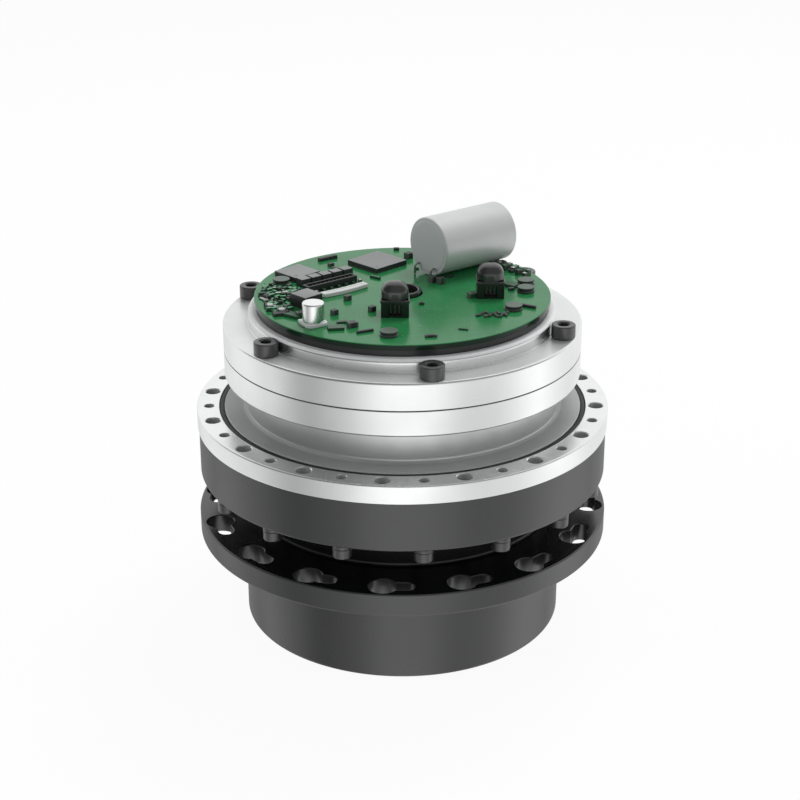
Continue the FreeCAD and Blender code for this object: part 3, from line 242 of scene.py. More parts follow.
def lathe(name, profile, edge=0.15, steps=180):
    """A profile of (radius, height) points, spun round the axis. It is closed unless it meets the axis."""
    put_down()
    closed = profile[0][0] > 0
    outline = rounded(profile, edge, closed)
    if edge:
        outline = held(outline, closed)
    points = [mm(p[0], 0, p[1]) for p in outline]
    if closed:
        points.append(points[0])
    piece = drawn(name, points)
    open_up()
    bpy.ops.mesh.spin(steps=steps, angle=2 * math.pi, center=(0, 0, 0), axis=(0, 0, 1))
    return smooth(outward(piece))


def block(name, size, place, edge=0.1, segments=2):
    """A bevelled block. place is the middle of its underside."""
    put_down()
    x, y, z = place
    bpy.ops.mesh.primitive_cube_add(size=1, location=mm(x, y, z + size[2] / 2))
    piece = bpy.context.object
    piece.name = name
    piece.scale = mm(*size)
    settle(piece)
    if edge:
        bevelled(piece, edge, segments)
    return smooth(piece, FLAT)


def slab(name, outline, z0, z1, edge=0.0):
    """A flat outline of (x, y) points, filled and raised."""
    put_down()
    points = [mm(x, y, z0) for x, y in outline]
    points.append(points[0])
    piece = drawn(name, points)
    open_up(merge=True)
    bpy.ops.mesh.edge_face_add()
    bpy.ops.mesh.extrude_region_move(TRANSFORM_OT_translate={"value": mm(0, 0, z1 - z0)})
    outward(piece)
    if edge:
        bevelled(piece, edge, 2, 50)
    return smooth(piece, FLAT)


def placed(piece, place, turn=0.0):
    """Moves a piece made at the origin to its place, turned about the vertical."""
    piece.rotation_euler = (0, 0, math.radians(turn))
    piece.location = mm(*place)
    return settle(piece)


def hexagon(across, z0, z1):
    """A hexagonal cutter at the axis."""
    put_down()
    bpy.ops.mesh.primitive_cylinder_add(vertices=6, radius=mm(across / math.sqrt(3)), depth=mm(z1 - z0),
                                        location=mm(0, 0, (z0 + z1) / 2))
    return settle(bpy.context.object)


def drill(radius, place_radius, z0, z1, count, start, rim=0.25):
    """Cutters for a ring of holes, flared at both mouths so that the rims are broken."""
    bit = lathe("bit", [
        (0, z0 - 1),
        (radius + rim + 1, z0 - 1),
        (radius, z0 + rim),
        (radius, z1 - rim),
        (radius + rim + 1, z1 + 1),
        (0, z1 + 1),
    ], edge=0, steps=32)
    placed(bit, (0, -place_radius, 0))
    return ring_of("bits", bit, count, start)


# Node trees

def node(tree, kind, inputs=None, **settings):
    """A new shader node. inputs gives a socket or a value for some inputs, by name or number."""
    made = tree.nodes.new("ShaderNode" + kind)
    for name, value in settings.items():
        setattr(made, name, value)
    for label, value in (inputs or {}).items():
        if isinstance(value, bpy.types.NodeSocket):
            tree.links.new(value, made.inputs[label])
        else:
            made.inputs[label].default_value = value
    return made


def maths(tree, operation, a, b=0.0, clamp=False):
    """What a maths node makes of two sockets or numbers."""
    return node(tree, "Math", {0: a, 1: b}, operation=operation, use_clamp=clamp).outputs[0]


def between(tree, factor, low, high, start=0.3, end=0.7, **settings):
    """Low up to where the factor is at its start, high from its end on, and a slope between."""
    ends = {"From Min": start, "From Max": end, "To Min": low, "To Max": high}
    return node(tree, "MapRange", {"Value": factor, **ends}, **settings).outputs["Result"]


def mixed(tree, factor, a, b):
    """Two colours, or colour sockets, mixed by a mask."""
    a, b = ((*colour, 1.0) if isinstance(colour, tuple) else colour for colour in (a, b))
    return node(tree, "Mix", {"Factor": factor, 6: a, 7: b}, data_type="RGBA").outputs[2]


def noise(tree, place, per_mm, detail, **settings):
    """Noise with per_mm waves in a millimetre."""
    scale = maths(tree, "MULTIPLY", per_mm, 1000.0)
    return node(tree, "TexNoise", {"Vector": place, "Scale": scale, "Detail": detail}, **settings)


def emptied(owner):
    """The node tree of a material or a world, with nothing in it."""
    owner.use_nodes = True
    owner.node_tree.nodes.clear()
    return owner.node_tree


def started(name):
    """A new material, its empty tree, and the piece's own coordinates in it."""
    material = bpy.data.materials.new(name)
    tree = emptied(material)
    return material, tree, node(tree, "TexCoord").outputs["Object"]


# Effects that many materials share

def group(name, numbers, results):
    """A node group that takes a place and some numbers, and gives others. numbers holds their usual values."""
    tree = bpy.data.node_groups.new(name, "ShaderNodeTree")
    tree.interface.new_socket("Place", in_out="INPUT", socket_type="NodeSocketVector")
    for label, value in numbers.items():
        tree.interface.new_socket(label, in_out="INPUT", socket_type="NodeSocketFloat").default_value = value
    for label in results:
        tree.interface.new_socket(label, in_out="OUTPUT", socket_type="NodeSocketFloat")
    return tree, tree.nodes.new("NodeGroupInput").outputs, tree.nodes.new("NodeGroupOutput").inputs


def turning_marks():
    """Fine rings left by the lathe round the main axis."""
    tree, given, result = group("turning marks", {"Rings per mm": 4.0}, ["Height"])
    x, y, z = node(tree, "SeparateXYZ", {0: given["Place"]}).outputs
    squares = maths(tree, "ADD", maths(tree, "MULTIPLY", x, x), maths(tree, "MULTIPLY", y, y))
    along = node(tree, "CombineXYZ", {0: maths(tree, "SQRT", squares), 1: z}).outputs[0]
    rings = noise(tree, along, given["Rings per mm"], 3.0, noise_dimensions="2D")
    rings.inputs["Roughness"].default_value = 0.7
    tree.links.new(rings.outputs[0], result["Height"])
    return tree


def grain():
    """Even fine grain, and slow patches across the surface."""
    tree, given, result = group("grain", {"Grains per mm": 5.0, "Patches per mm": 0.05}, ["Height", "Patch"])
    for rate, label, detail in (("Grains per mm", "Height", 2.0), ("Patches per mm", "Patch", 4.0)):
        tree.links.new(noise(tree, given["Place"], given[rate], detail).outputs[0], result[label])
    return tree


def edge_wear_and_highlight():
    """One where the surface turns a corner, broken up by noise: a mask for rubbed edges and a painted edge
    highlight.
    """
    tree, given, result = group("edge wear", {"Width mm": 0.3, "Breaks per mm": 0.6}, ["Mask"])
    radius = maths(tree, "MULTIPLY", given["Width mm"], 0.001)
    softened = node(tree, "Bevel", {"Radius": radius}, samples=4).outputs[0]
    normal = node(tree, "NewGeometry").outputs["Normal"]
    agreeing = node(tree, "VectorMath", {0: softened, 1: normal}, operation="DOT_PRODUCT").outputs["Value"]
    corner = maths(tree, "MULTIPLY", maths(tree, "SUBTRACT", 1.0, agreeing), 6.0, True)
    breaks = noise(tree, given["Place"], given["Breaks per mm"], 5.0).outputs[0]
    breaks = maths(tree, "MULTIPLY", breaks, 1.6, True)
    tree.links.new(maths(tree, "MULTIPLY", corner, breaks), result["Mask"])
    return tree


TURNING = turning_marks()
GRAIN = grain()
WEAR_AND_HIGHLIGHT = edge_wear_and_highlight()


def effect(tree, made, place, **numbers):
    """The outputs of a shared effect, placed in a material with its own numbers."""
    inputs = {label.replace("_", " "): value for label, value in numbers.items()}
    return node(tree, "Group", {"Place": place, **inputs}, node_tree=made).outputs


# Surfaces

def shown(tree, tone, sheen, height, bump, depth, metallic=0.0, specular=0.5):
    """Shows a Principled shader. bump is how strong its relief is, and depth how deep in millimetres."""
    relief = node(tree, "Bump", {"Strength": bump, "Distance": mm(depth), "Height": height}).outputs[0]
    shader = node(tree, "BsdfPrincipled", {"Base Color": tone, "Roughness": sheen, "Normal": relief,
                                           "Metallic": metallic, "Specular IOR Level": specular})
    node(tree, "OutputMaterial", {"Surface": shader.outputs[0]})


def grey(level):
    return level, level, level


def finish(name, colour, rough, metallic=0.0, patch=0.05, worn_and_lit=None, wear=0.3, rings=0.0, bump=0.12,
           depth=0.004, grains=5.0, specular=0.5, slant=0.0):
    """A surface with slow patches in its colour and sheen, fine grain or turning marks, and lighter edges,
    which are partly rubbed and partly a painted highlight.

    patch is how much its roughness changes, worn_and_lit and wear are the colour and the width
    in millimetres of its lighter edges, rings and grains are counted in a millimetre, and slant is how much
    rougher it looks when it is seen at a slant.
    """
    material, tree, place = started(name)
    fine = effect(tree, GRAIN, place, Grains_per_mm=grains)
    darker = tuple(c * 0.9 for c in colour)
    tone = mixed(tree, between(tree, fine["Patch"], 0.0, 1.0), colour, darker)
    # Lighter edges: partly rubbed, partly a painted highlight.
    if worn_and_lit:
        tone = mixed(tree, effect(tree, WEAR_AND_HIGHLIGHT, place, Width_mm=wear)["Mask"], tone, worn_and_lit)
    sheen = between(tree, fine["Patch"], rough - patch, rough + patch)
    if slant:
        facing = node(tree, "LayerWeight").outputs["Facing"]
        sheen = maths(tree, "ADD", sheen, between(tree, facing, 0.0, slant, start=0.48, end=0.68))
    height = effect(tree, TURNING, place, Rings_per_mm=rings)["Height"] if rings else fine["Height"]
    shown(tree, tone, sheen, height, bump, depth, metallic, specular)
    return material


def solder_mask():
    """Green lacquered board: copper areas show through a little, vias stand as pale dots, the rim is dark."""
    material, tree, place = started("green board")
    fine = effect(tree, GRAIN, place, Grains_per_mm=8.0)
    patch = fine["Patch"]
    nearest, next_one = (node(tree, "TexVoronoi", {"Vector": place, "Scale": 210.0}, feature=feature,
                              distance="CHEBYCHEV").outputs["Distance"] for feature in ("F1", "F2"))
    track = maths(tree, "LESS_THAN", maths(tree, "SUBTRACT", next_one, nearest), 0.035)
    dots = node(tree, "TexVoronoi", {"Vector": place, "Scale": 330.0}).outputs["Distance"]
    via = maths(tree, "MULTIPLY", maths(tree, "LESS_THAN", dots, 0.09), maths(tree, "GREATER_THAN", patch, 0.52))
    height = node(tree, "SeparateXYZ", {0: place}).outputs[2]
    rim = maths(tree, "LESS_THAN", height, mm(BOARD_TOP - 0.2))
    tone = mixed(tree, between(tree, patch, 0.0, 1.0), (0.024, 0.190, 0.062), (0.018, 0.160, 0.050))
    tone = mixed(tree, maths(tree, "MULTIPLY", track, 0.35), tone, (0.036, 0.22, 0.085))
    tone = mixed(tree, maths(tree, "MULTIPLY", via, 0.5), tone, (0.22, 0.30, 0.18))
    tone = mixed(tree, rim, tone, (0.006, 0.022, 0.012))
    shown(tree, tone, between(tree, patch, 0.14, 0.20), fine["Height"], 0.03, 0.003, specular=0.2)
    return material


def striped(name, colour, other, rough, metallic, lines_per_mm):
    """Thin layers or wires: fine stripes one above the other."""
    material, tree, place = started(name)
    scale = lines_per_mm * 1000.0 / 3.14
    stripes = node(tree, "TexWave", {"Vector": place, "Scale": scale, "Distortion": 0.3},
                   bands_direction="Z").outputs["Fac"]
    patch = effect(tree, GRAIN, place)["Patch"]
    sheen = between(tree, patch, rough - 0.05, rough + 0.05)
    shown(tree, mixed(tree, stripes, other, colour), sheen, stripes, 0.4, 0.03, metallic)
    return material


# One surface for each material slot, and others for single faces and small parts, some of them painted light and
# painted shade
SURFACE = {
    "black_aluminium": finish("black anodised", (0.014, 0.015, 0.015), 0.28, patch=0.03, worn_and_lit=grey(0.09),
                              wear=0.18, rings=5.0, bump=0.10, specular=1.0, slant=0.22),
    "bright_aluminium": finish("bright turned", (0.91, 0.925, 0.92), 0.28, 1.0, patch=0.03, worn_and_lit=grey(0.94),
                               wear=0.12, rings=5.0, bump=0.10),
    "ring_steel": finish("ground steel", (0.56, 0.56, 0.57), 0.30, 1.0, worn_and_lit=grey(0.75), wear=0.2, rings=6.0),
    "bearing_steel": finish("polished steel", (0.64, 0.65, 0.66), 0.14, 1.0, patch=0.04, worn_and_lit=grey(0.8),
                            wear=0.15, rings=8.0, bump=0.06),
    "black_screw": finish("black oxide", (0.030, 0.030, 0.031), 0.32, patch=0.06, worn_and_lit=grey(0.16), wear=0.18,
                          specular=1.0),
    "bright_screw": finish("zinc plate", (0.62, 0.63, 0.64), 0.28, 1.0, patch=0.06, worn_and_lit=grey(0.8), wear=0.15),
    "gear_steel": finish("oiled gear steel", (0.46, 0.46, 0.47), 0.24, 1.0, patch=0.07, worn_and_lit=grey(0.7),
                         wear=0.12, rings=6.0),
    "dark_steel": finish("phosphated steel", (0.14, 0.14, 0.15), 0.52, 0.6, patch=0.08, worn_and_lit=grey(0.35),
                         wear=0.2, bump=0.25),
    "magnet": finish("nickel plate", (0.68, 0.67, 0.64), 0.18, 1.0, worn_and_lit=(0.8, 0.8, 0.78), wear=0.15),
    "laminations": striped("varnished laminations", (0.20, 0.20, 0.22), (0.09, 0.09, 0.10), 0.5, 0.6, 2.5),
    "copper": striped("winding wire", (0.62, 0.27, 0.11), (0.25, 0.09, 0.03), 0.3, 1.0, 1.8),
    "lining": finish("friction lining", (0.15, 0.12, 0.09), 0.85, bump=0.6, depth=0.03, grains=2.0),
    "seal_rubber": finish("seal rubber", (0.018, 0.018, 0.019), 0.55, patch=0.08, bump=0.25),
    "tube_black": finish("black tube", (0.020, 0.020, 0.021), 0.22, patch=0.04, worn_and_lit=grey(0.12), wear=0.15,
                         rings=4.0, specular=0.7),
    "ring_magnet": finish("bonded magnet", (0.055, 0.055, 0.06), 0.6, patch=0.06, worn_and_lit=grey(0.12), wear=0.15),
    "board": solder_mask(),
    "black_plastic": finish("black moulding", (0.018, 0.018, 0.019), 0.42, patch=0.06, worn_and_lit=grey(0.05),
                            wear=0.12),
    "plug_plastic": finish("glossy moulding", (0.014, 0.014, 0.015), 0.24, worn_and_lit=grey(0.06), wear=0.15,
                           specular=1.0),
    "white_plastic": finish("white moulding", (0.62, 0.63, 0.62), 0.38, patch=0.06, worn_and_lit=grey(0.8), wear=0.12),
    "can_metal": finish("drawn can", (0.65, 0.66, 0.66), 0.42, 0.35, patch=0.04, worn_and_lit=grey(0.66), wear=0.25,
                        bump=0.08),
    "lead_metal": finish("tinned wire", (0.38, 0.38, 0.37), 0.45, 1.0, patch=0.06, worn_and_lit=grey(0.5), wear=0.1),
    "chip_plastic": finish("chip moulding", (0.030, 0.031, 0.033), 0.50, worn_and_lit=grey(0.09), wear=0.1,
                           specular=0.7),
}

# A deeper black: painted shade on the flange's faces in the gap under the casing and on the plug sockets.
SHADE_BLACK = finish("painted shade black", (0.0035, 0.004, 0.004), 0.24, patch=0.03, rings=5.0, bump=0.06,
                    specular=0.8)
# Dull grey, less metallic top of the foot: painted shade.
FOOT_TOP_PAINTED_SHADE = finish("foot top painted shade", (0.42, 0.425, 0.425), 0.45, 0.25, patch=0.04)
# Lighter, less metallic top of the boss: painted light.
BOSS_TOP_PAINTED_LIGHT = finish("boss top painted light", (0.80, 0.81, 0.81), 0.45, 0.2, patch=0.04)
# Darker, less metallic top of the drum's ledge: painted shade.
DRUM_TOP_PAINTED_SHADE = finish("drum top painted shade", (0.80, 0.815, 0.81), 0.34, 0.6, patch=0.03, worn_and_lit=grey(0.9), wear=0.12, rings=5.0,
                  bump=0.06)
SATIN = finish("satin turned", (0.86, 0.875, 0.87), 0.36, 1.0, patch=0.03, worn_and_lit=grey(0.94), wear=0.12,
               rings=5.0, bump=0.10)
# Pale grey walls of the ring's holes: painted light inside the holes.
DRILLED_WALL_PAINTED_LIGHT = finish("drilled wall painted light", (0.42, 0.43, 0.43), 0.45, patch=0.08)
CHIP_END = finish("solder end", (0.075, 0.095, 0.08), 0.45, patch=0.08)
# Lighter tops of chips, packages and the choke: painted reflection of the sky.
CHIP_TOP_PAINTED_REFLECTION = finish("chip top painted reflection", (0.23, 0.235, 0.235), 0.46)
PALE_BODY = finish("pale ceramic", (0.50, 0.52, 0.50), 0.5, patch=0.08)
GREEN_BODY = finish("green part", (0.018, 0.070, 0.034), 0.4, patch=0.06)
# Lighter green tops of small parts: painted light.
GREEN_TOP_PAINTED_LIGHT = finish("green top painted light", (0.065, 0.27, 0.12), 0.4, patch=0.06)
# Lighter tops of the coils: painted reflection of the sky.
COIL_TOP_PAINTED_REFLECTION = finish("coil top painted reflection", (0.080, 0.115, 0.09), 0.42, patch=0.06)
CAN_END = finish("can end", (0.49, 0.50, 0.50), 0.42, patch=0.04)
SMALL_CAN = finish("small can", (0.92, 0.93, 0.93), 0.26, 1.0, patch=0.03, worn_and_lit=grey(0.96), wear=0.12)


def paint(piece, material, top=None):
    """Gives a piece a material, and its upward faces another: on dark parts a lighter one, which is painted light.
    """
    piece.data.materials.clear()
    piece.data.materials.append(material)
    if top:
        piece.data.materials.append(top)
        for face in piece.data.polygons:
            face.material_index = int(face.normal.z > 0.9)
    return piece


def seated(piece, slot, body, *nodes):
    """Attaches a painted piece to its body and hides the CAD nodes that it stands for. slot is not used."""
    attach(piece, body)
    if nodes:
        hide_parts(*nodes)
    return piece


def dress(piece, slot, body, *nodes):
    """Seats a piece that has its slot's surface all over."""
    return seated(paint(piece, SURFACE[slot]), slot, body, *nodes)


def radius_of(point):
    return math.hypot(point.x, point.y)


def touch_up(piece, material, chosen):
    """Gives some faces of a dressed piece another material."""
    piece.data.materials.append(material)
    last = len(piece.data.materials) - 1
    for face in piece.data.polygons:
        if chosen(face.center, face.normal):
            face.material_index = last
    return piece


# Output hub with its keyhole flange

def keyhole_outline(grow, z):
    """Round end at the front and a slot running round the axis from it, all grown by the same amount."""
    big, half, reach, turn = 4.15 + grow, 2.25 + grow, 57.4, math.radians(6.8)
    outer, inner = reach + half, reach - half

    def mouth(radius):
        """Where a side of the slot meets the round end, as an angle on that end."""
        return math.asin((big ** 2 + reach ** 2 - radius ** 2) / (2 * big * reach))

    def side(radius, x, y):
        """A side of the slot, from its mouth at x and y to its far end."""
        start = math.atan2(x, -y)
        turns = [start + (turn - start) * k / 4 for k in range(1, 5)]
        return [(radius * math.sin(t), -radius * math.cos(t)) for t in turns]

    first, last = mouth(inner), mouth(outer) + 2 * math.pi
    turns = [first + (last - first) * k / 24 for k in range(25)]
    front = [(big * math.cos(t), -reach + big * math.sin(t)) for t in turns]
    turns = [turn - math.pi / 2 + math.pi * k / 8 for k in range(1, 8)]
    x, y = reach * math.sin(turn), -reach * math.cos(turn)
    far = [(x + half * math.cos(t), y + half * math.sin(t)) for t in turns]
    outline = front + side(outer, *front[-1]) + far + side(inner, *front[0])[::-1]
    return [mm(x, y, z) for x, y in outline]


def keyhole_cutter(z0, z1, rim=0.22):
    """Outlines bridged to one cutter whose upper mouth is flared."""
    levels = []
    for grow, z in ((0, z0 - 3), (0, z1 - rim), (0.8, z1 + 0.8 - rim)):
        put_down()
        points = keyhole_outline(grow, z)
        levels.append(drawn("level", points + points[:1]))
    piece = joined("keyhole", levels)
    open_up(merge=True)
    bpy.ops.mesh.bridge_edge_loops()
    bpy.ops.mesh.select_all(action="DESELECT")
    bpy.ops.mesh.select_mode(type="EDGE")
    bpy.ops.mesh.select_non_manifold(extend=False)
    bpy.ops.mesh.edge_face_add()
    bpy.ops.mesh.select_mode(type="VERT")
    return outward(piece)


def output_hub():
    piece = lathe("output_hub", [
        (43.75, 0, 0.4),
        (48.75, 0, 1.0),
        (48.75, 28.1, 0.4),
        (51.15, 28.1, 0.3),
        (51.15, FLANGE_RELIEF, 0.6),
        (60.9, FLANGE_RELIEF, 0.6),
        (60.9, 28.1, 0.1),
        (62.4, 28.1, 1.2),
        (62.4, FLANGE_TOP, 0.5),
        (45.5, FLANGE_TOP, 1.0),
        (45.5, BEARING_SEAT, 0.2),
        (40.95, BEARING_SEAT, 0.1),
        (40.95, 62.6, 0.4),
        (35.95, 62.6, 0.4),
        (35.95, 30.0, 1.5),
        (5.65, 30.0, 0.2),
        (5.65, RECESS_TOP, 0.2),
        (43.75, RECESS_TOP, 2.0),
    ], 0.2, ROUND)
    cut(piece, ring_of("keyholes", keyhole_cutter(FLANGE_RELIEF, FLANGE_TOP), BOLT_COUNT, MOUNT_ANGLE))
    dress(smooth(piece), "black_aluminium", "output", "output_flange")
    # The flange's top and the spigot wall in the gap get the deeper black: painted shade under the casing.
    return touch_up(piece, SHADE_BLACK, lambda middle, normal: middle.z > mm(FLANGE_TOP - 0.2) and (
        normal.z > 0.9 or radius_of(middle) < mm(47.5)))


def cap_screw(name, radius, head_r, head_h, socket, length):
    """Socket head cap screw, head up, its seat at the origin."""
    screw = lathe(name, [
        (0, -length),
        (radius - 0.2, -length),
        (radius, -length + 0.4),
        (radius, 0),
        (head_r - 0.15, 0, 0.1),
        (head_r, 0.3),
        (head_r, head_h, 0.35),
        (head_r - 0.7, head_h),
        (socket * 0.66, head_h, 0.1),
        (socket * 0.62, head_h - 0.3),
        (0, head_h - 0.3),
    ], 0.05, 48)
    cut(screw, hexagon(socket, head_h * 0.45, head_h + 1))
    return smooth(screw)


def casing_screws():
    one = cap_screw("casing_screw", radius=1.5, head_r=2.75, head_h=3.0, socket=2.5, length=18.0)
    one.rotation_euler = (math.pi, 0, 0)
    placed(settle(one), (0, -BOLT_CIRCLE, CASING_LOW - WASHER))
    return dress(ring_of("casing_screws", one, BOLT_COUNT, CLAMP_ANGLE), "black_screw", "housing", "clamp_screws")


def lock_washers():
    low = CASING_LOW - WASHER
    washer = lathe("lock_washer", [(1.55, low), (2.8, low), (2.8, CASING_LOW), (1.55, CASING_LOW)], 0.1, 48)
    cut(washer, block("split", (0.3, 5.6, 2.0), (0, 2.8, low - 0.5), 0))
    placed(smooth(washer), (0, -BOLT_CIRCLE, 0))
    return dress(ring_of("lock_washers", washer, BOLT_COUNT, CLAMP_ANGLE), "black_screw", "housing", "clamp_washers")


def drum_bolts():
    one = cap_screw("drum_bolt", radius=2.0, head_r=3.5, head_h=4.0, socket=3.0, length=12.0)
    placed(one, (0, -49.5, LEDGE))
    return dress(ring_of("drum_bolts", one, 6, 9.4), "black_screw", "housing", "drum_screws")


# Casings

def bolt_holes(piece, z0, z1, clamp_hole, clamp_rim):
    """Drills the holes of the mount, and between them those of the clamp screws."""
    cut(piece, drill(BOLT_HOLE, BOLT_CIRCLE, z0, z1, BOLT_COUNT, MOUNT_ANGLE))
    return cut(piece, drill(clamp_hole, BOLT_CIRCLE, z0, z1, BOLT_COUNT, CLAMP_ANGLE, clamp_rim))


def bearing_casing():
    piece = lathe("bearing_casing", [
        (50.5, CASING_LOW, 0.5),
        (61.6, CASING_LOW, 0.8),
        (61.6, RING_LOW, 0.12),
        (55.05, RING_LOW, 0.1),
        (55.05, BEARING_SEAT, 0.1),
        (50.5, BEARING_SEAT, 0.1),
    ], 0.2, ROUND)
    bolt_holes(piece, CASING_LOW, RING_LOW, 1.65, 0.05)
    return dress(smooth(piece), "black_aluminium", "housing", "bearing_housing")


def bright_ring():
    piece = lathe("bright_ring", [
        (48.2, RING_LOW, 0.1),
        (62.0, RING_LOW, 0.12),
        (62.0, RING_TOP, 0.45),
        (55.3, RING_TOP, 0.25),
        (55.3, FOOT_SEAT, 0.1),
        (48.2, FOOT_SEAT, 0.1),
    ], 0.2, ROUND)
    bolt_holes(piece, RING_LOW, RING_TOP, 1.5, 0.15)
    cut(piece, drill(1.3, 51.2, 62.0, 66.0, 12, 0, 0.1))
    dress(smooth(piece), "bright_aluminium", "housing", "mount_ring")
    # The walls of the larger holes get the pale grey: painted light.
    return touch_up(piece, DRILLED_WALL_PAINTED_LIGHT, lambda middle, normal: abs(normal.z) < 0.5 and (
        mm(55.6) < radius_of(middle) < mm(61.0)))


def seal():
    piece = lathe("foot_seal", [
        (53.8, FOOT_SEAT, 0.1),
        (55.25, FOOT_SEAT, 0.1),
        (55.25, 68.05, 0.5),
        (53.8, 68.05, 0.5),
    ], 0.2, ROUND)
    return dress(piece, "seal_rubber", "housing", "seal_ring")


def lower_drum():
    piece = lathe("lower_drum", [
        (42.55, FOOT_SEAT, 0.1),
        (53.75, FOOT_SEAT, 0.1),
        (53.75, RING_TOP, 0.3),
        (47.1, RING_TOP, 1.2),
        (47.1, DRUM_LOW, 0.8),
        (DRUM_R, DRUM_LOW, 0.7),
        (DRUM_R, SEAM, 0.3),
        (JOINT_R, SEAM, 0.1),
        (JOINT_R, 82.3, 0.1),
        (BORE_R, 82.3, 0.1),
        (BORE_R, 80.4, 0.8),
        (19.0, 80.4, 0.2),
        (19.0, 85.1, 0.2),
        (16.05, 85.1, 0.1),
        (16.05, 78.6, 0.1),
        (14.0, 78.6, 0.1),
        (14.0, 76.6, 0.1),
        (42.55, 76.6, 0.1),
    ], 0.2, ROUND)
    dress(piece, "bright_aluminium", "housing", "motor_housing")
    touch_up(piece, SATIN, lambda middle, normal: mm(68.0) < middle.z < mm(78.9))
    # The foot's top gets the dull grey: painted shade.
    touch_up(piece, FOOT_TOP_PAINTED_SHADE, lambda middle, normal: mm(68.0) < middle.z < mm(69.0) and normal.z > 0.5)
    return darkened_seam(piece)


def upper_drum():
    piece = lathe("upper_drum", [
        (JOINT_R, SEAM, 0.1),
        (DRUM_R, SEAM, 0.3),
        (DRUM_R, LEDGE, 0.6),
        (45.75, LEDGE, 0.2),
        (45.75, BOSS_RIM, 1.2),
        (40.75, BOSS_RIM, 0.3),
        (40.75, LEDGE, 0.3),
        (16.5, LEDGE, 0.2),
        (16.5, 96.4, 0.2),
        (13.55, 96.4, 0.1),
        (13.55, 92.2, 0.1),
        (12.5, 92.2, 0.1),
        (12.5, 91.7, 0.1),
        (BORE_R, 91.7, 0.8),
        (BORE_R, 89.9, 0.1),
        (JOINT_R, 89.9, 0.1),
    ], 0.2, ROUND)
    dress(piece, "bright_aluminium", "housing", "drum_cover")
    # The ledge gets a darker copy of the turned finish: painted shade.
    touch_up(piece, DRUM_TOP_PAINTED_SHADE, lambda middle, normal: normal.z > 0.9 and middle.z > mm(LEDGE - 0.2))
    # The boss's top gets a lighter copy of the finish: painted light.
    touch_up(piece, BOSS_TOP_PAINTED_LIGHT, lambda middle, normal: normal.z > 0.3 and middle.z > mm(97.9))
    return darkened_seam(piece)


def darkened_seam(drum):
    """The broken edges where the two drums meet lie in their own shade."""
    return touch_up(drum, SURFACE["dark_steel"], lambda middle, normal: abs(middle.z - mm(SEAM)) < mm(0.28) and (
        mm(DRUM_R - 0.25) < radius_of(middle) < mm(DRUM_R - 0.03)))


def tube():
    piece = lathe("through_tube", [
        (4.5, 17.5, 0.4),
        (12.5, 17.5, 0.4),
        (12.5, RECESS_TOP, 0.1),
        (5.6, RECESS_TOP, 0.1),
        (5.6, 103.4, 0.35),
        (4.5, 103.4, 0.35),
    ], 0.2, 96)
    cut(piece, drill(1.3, 9.6, 18.0, 21.0, 4, 22.5, 0.1))
    return dress(smooth(piece), "tube_black", "output", "cable_tube")


# Driver board

def on_board(piece, place, turn=0.0):
    """Sets a piece made at the origin on the board's top."""
    return placed(piece, (*place, BOARD_TOP), turn)


def board():
    piece = lathe("round_board", [
        (6.0, BOARD_LOW),
        (43.8, BOARD_LOW),
        (43.8, BOARD_TOP),
        (6.0, BOARD_TOP),
    ], 0.12, ROUND)
    ring = lathe("black_board_ring", [
        (40.7, BOSS_RIM),
        (43.3, BOSS_RIM),
        (43.3, BOARD_LOW),
        (40.7, BOARD_LOW),
    ], 0.1, ROUND)
    dress(ring, "black_plastic", "housing", "board_spacer")
    return dress(piece, "board", "housing", "driver_board")


def big_can():
    piece = lathe("lying_can", [
        (0, 0),
        (7.6, 0, 0.15),
        (8.0, 0.18, 0.1),
        (CAN_R, 0.1, 0.6),
        (CAN_R, 28.0, 1.1),
        (7.9, 28.0, 0.2),
        (7.6, 27.75, 0.2),
        (0, 27.75),
    ], 0.2, 128)
    for turn in (0, 60, 120):
        cut(piece, turned_by(block("score", (12.0, 0.35, 0.5), (0, 0, 27.62), 0), turn))
    piece.rotation_euler = (0, math.radians(90), 0)
    settle(piece)
    placed(piece, (*CAN_PLACE, BOARD_TOP + CAN_R + 0.1), SLANT)
    dress(smooth(piece), "can_metal", "housing", "bulk_capacitor")
    return touch_up(piece, CAN_END, lambda middle, normal: normal.xy.dot(ALONG) < -0.9)


def can_leads():
    """Two wires bent from the can's inner end down to their pads."""
    wires = []
    for side in (-1, 1):
        bends = ((-0.05, 3.1), (-1.4, 3.1), (-1.9, 2.6), (-2.0, 0.0))
        wire = drawn("wire", [mm(x, side * 3.75, z) for x, z in bends])
        skin = wire.modifiers.new("skin", "SKIN")
        for point in wire.data.skin_vertices[0].data:
            point.radius = (mm(0.38), mm(0.38))
        apply(wire, skin)
        rounder = wire.modifiers.new("round", "SUBSURF")
        rounder.levels = 2
        wires.append(apply(wire, rounder))
    piece = on_board(joined("can_leads", wires), CAN_PLACE, SLANT)
    return dress(smooth(outward(piece)), "lead_metal", "housing", "capacitor_leads")


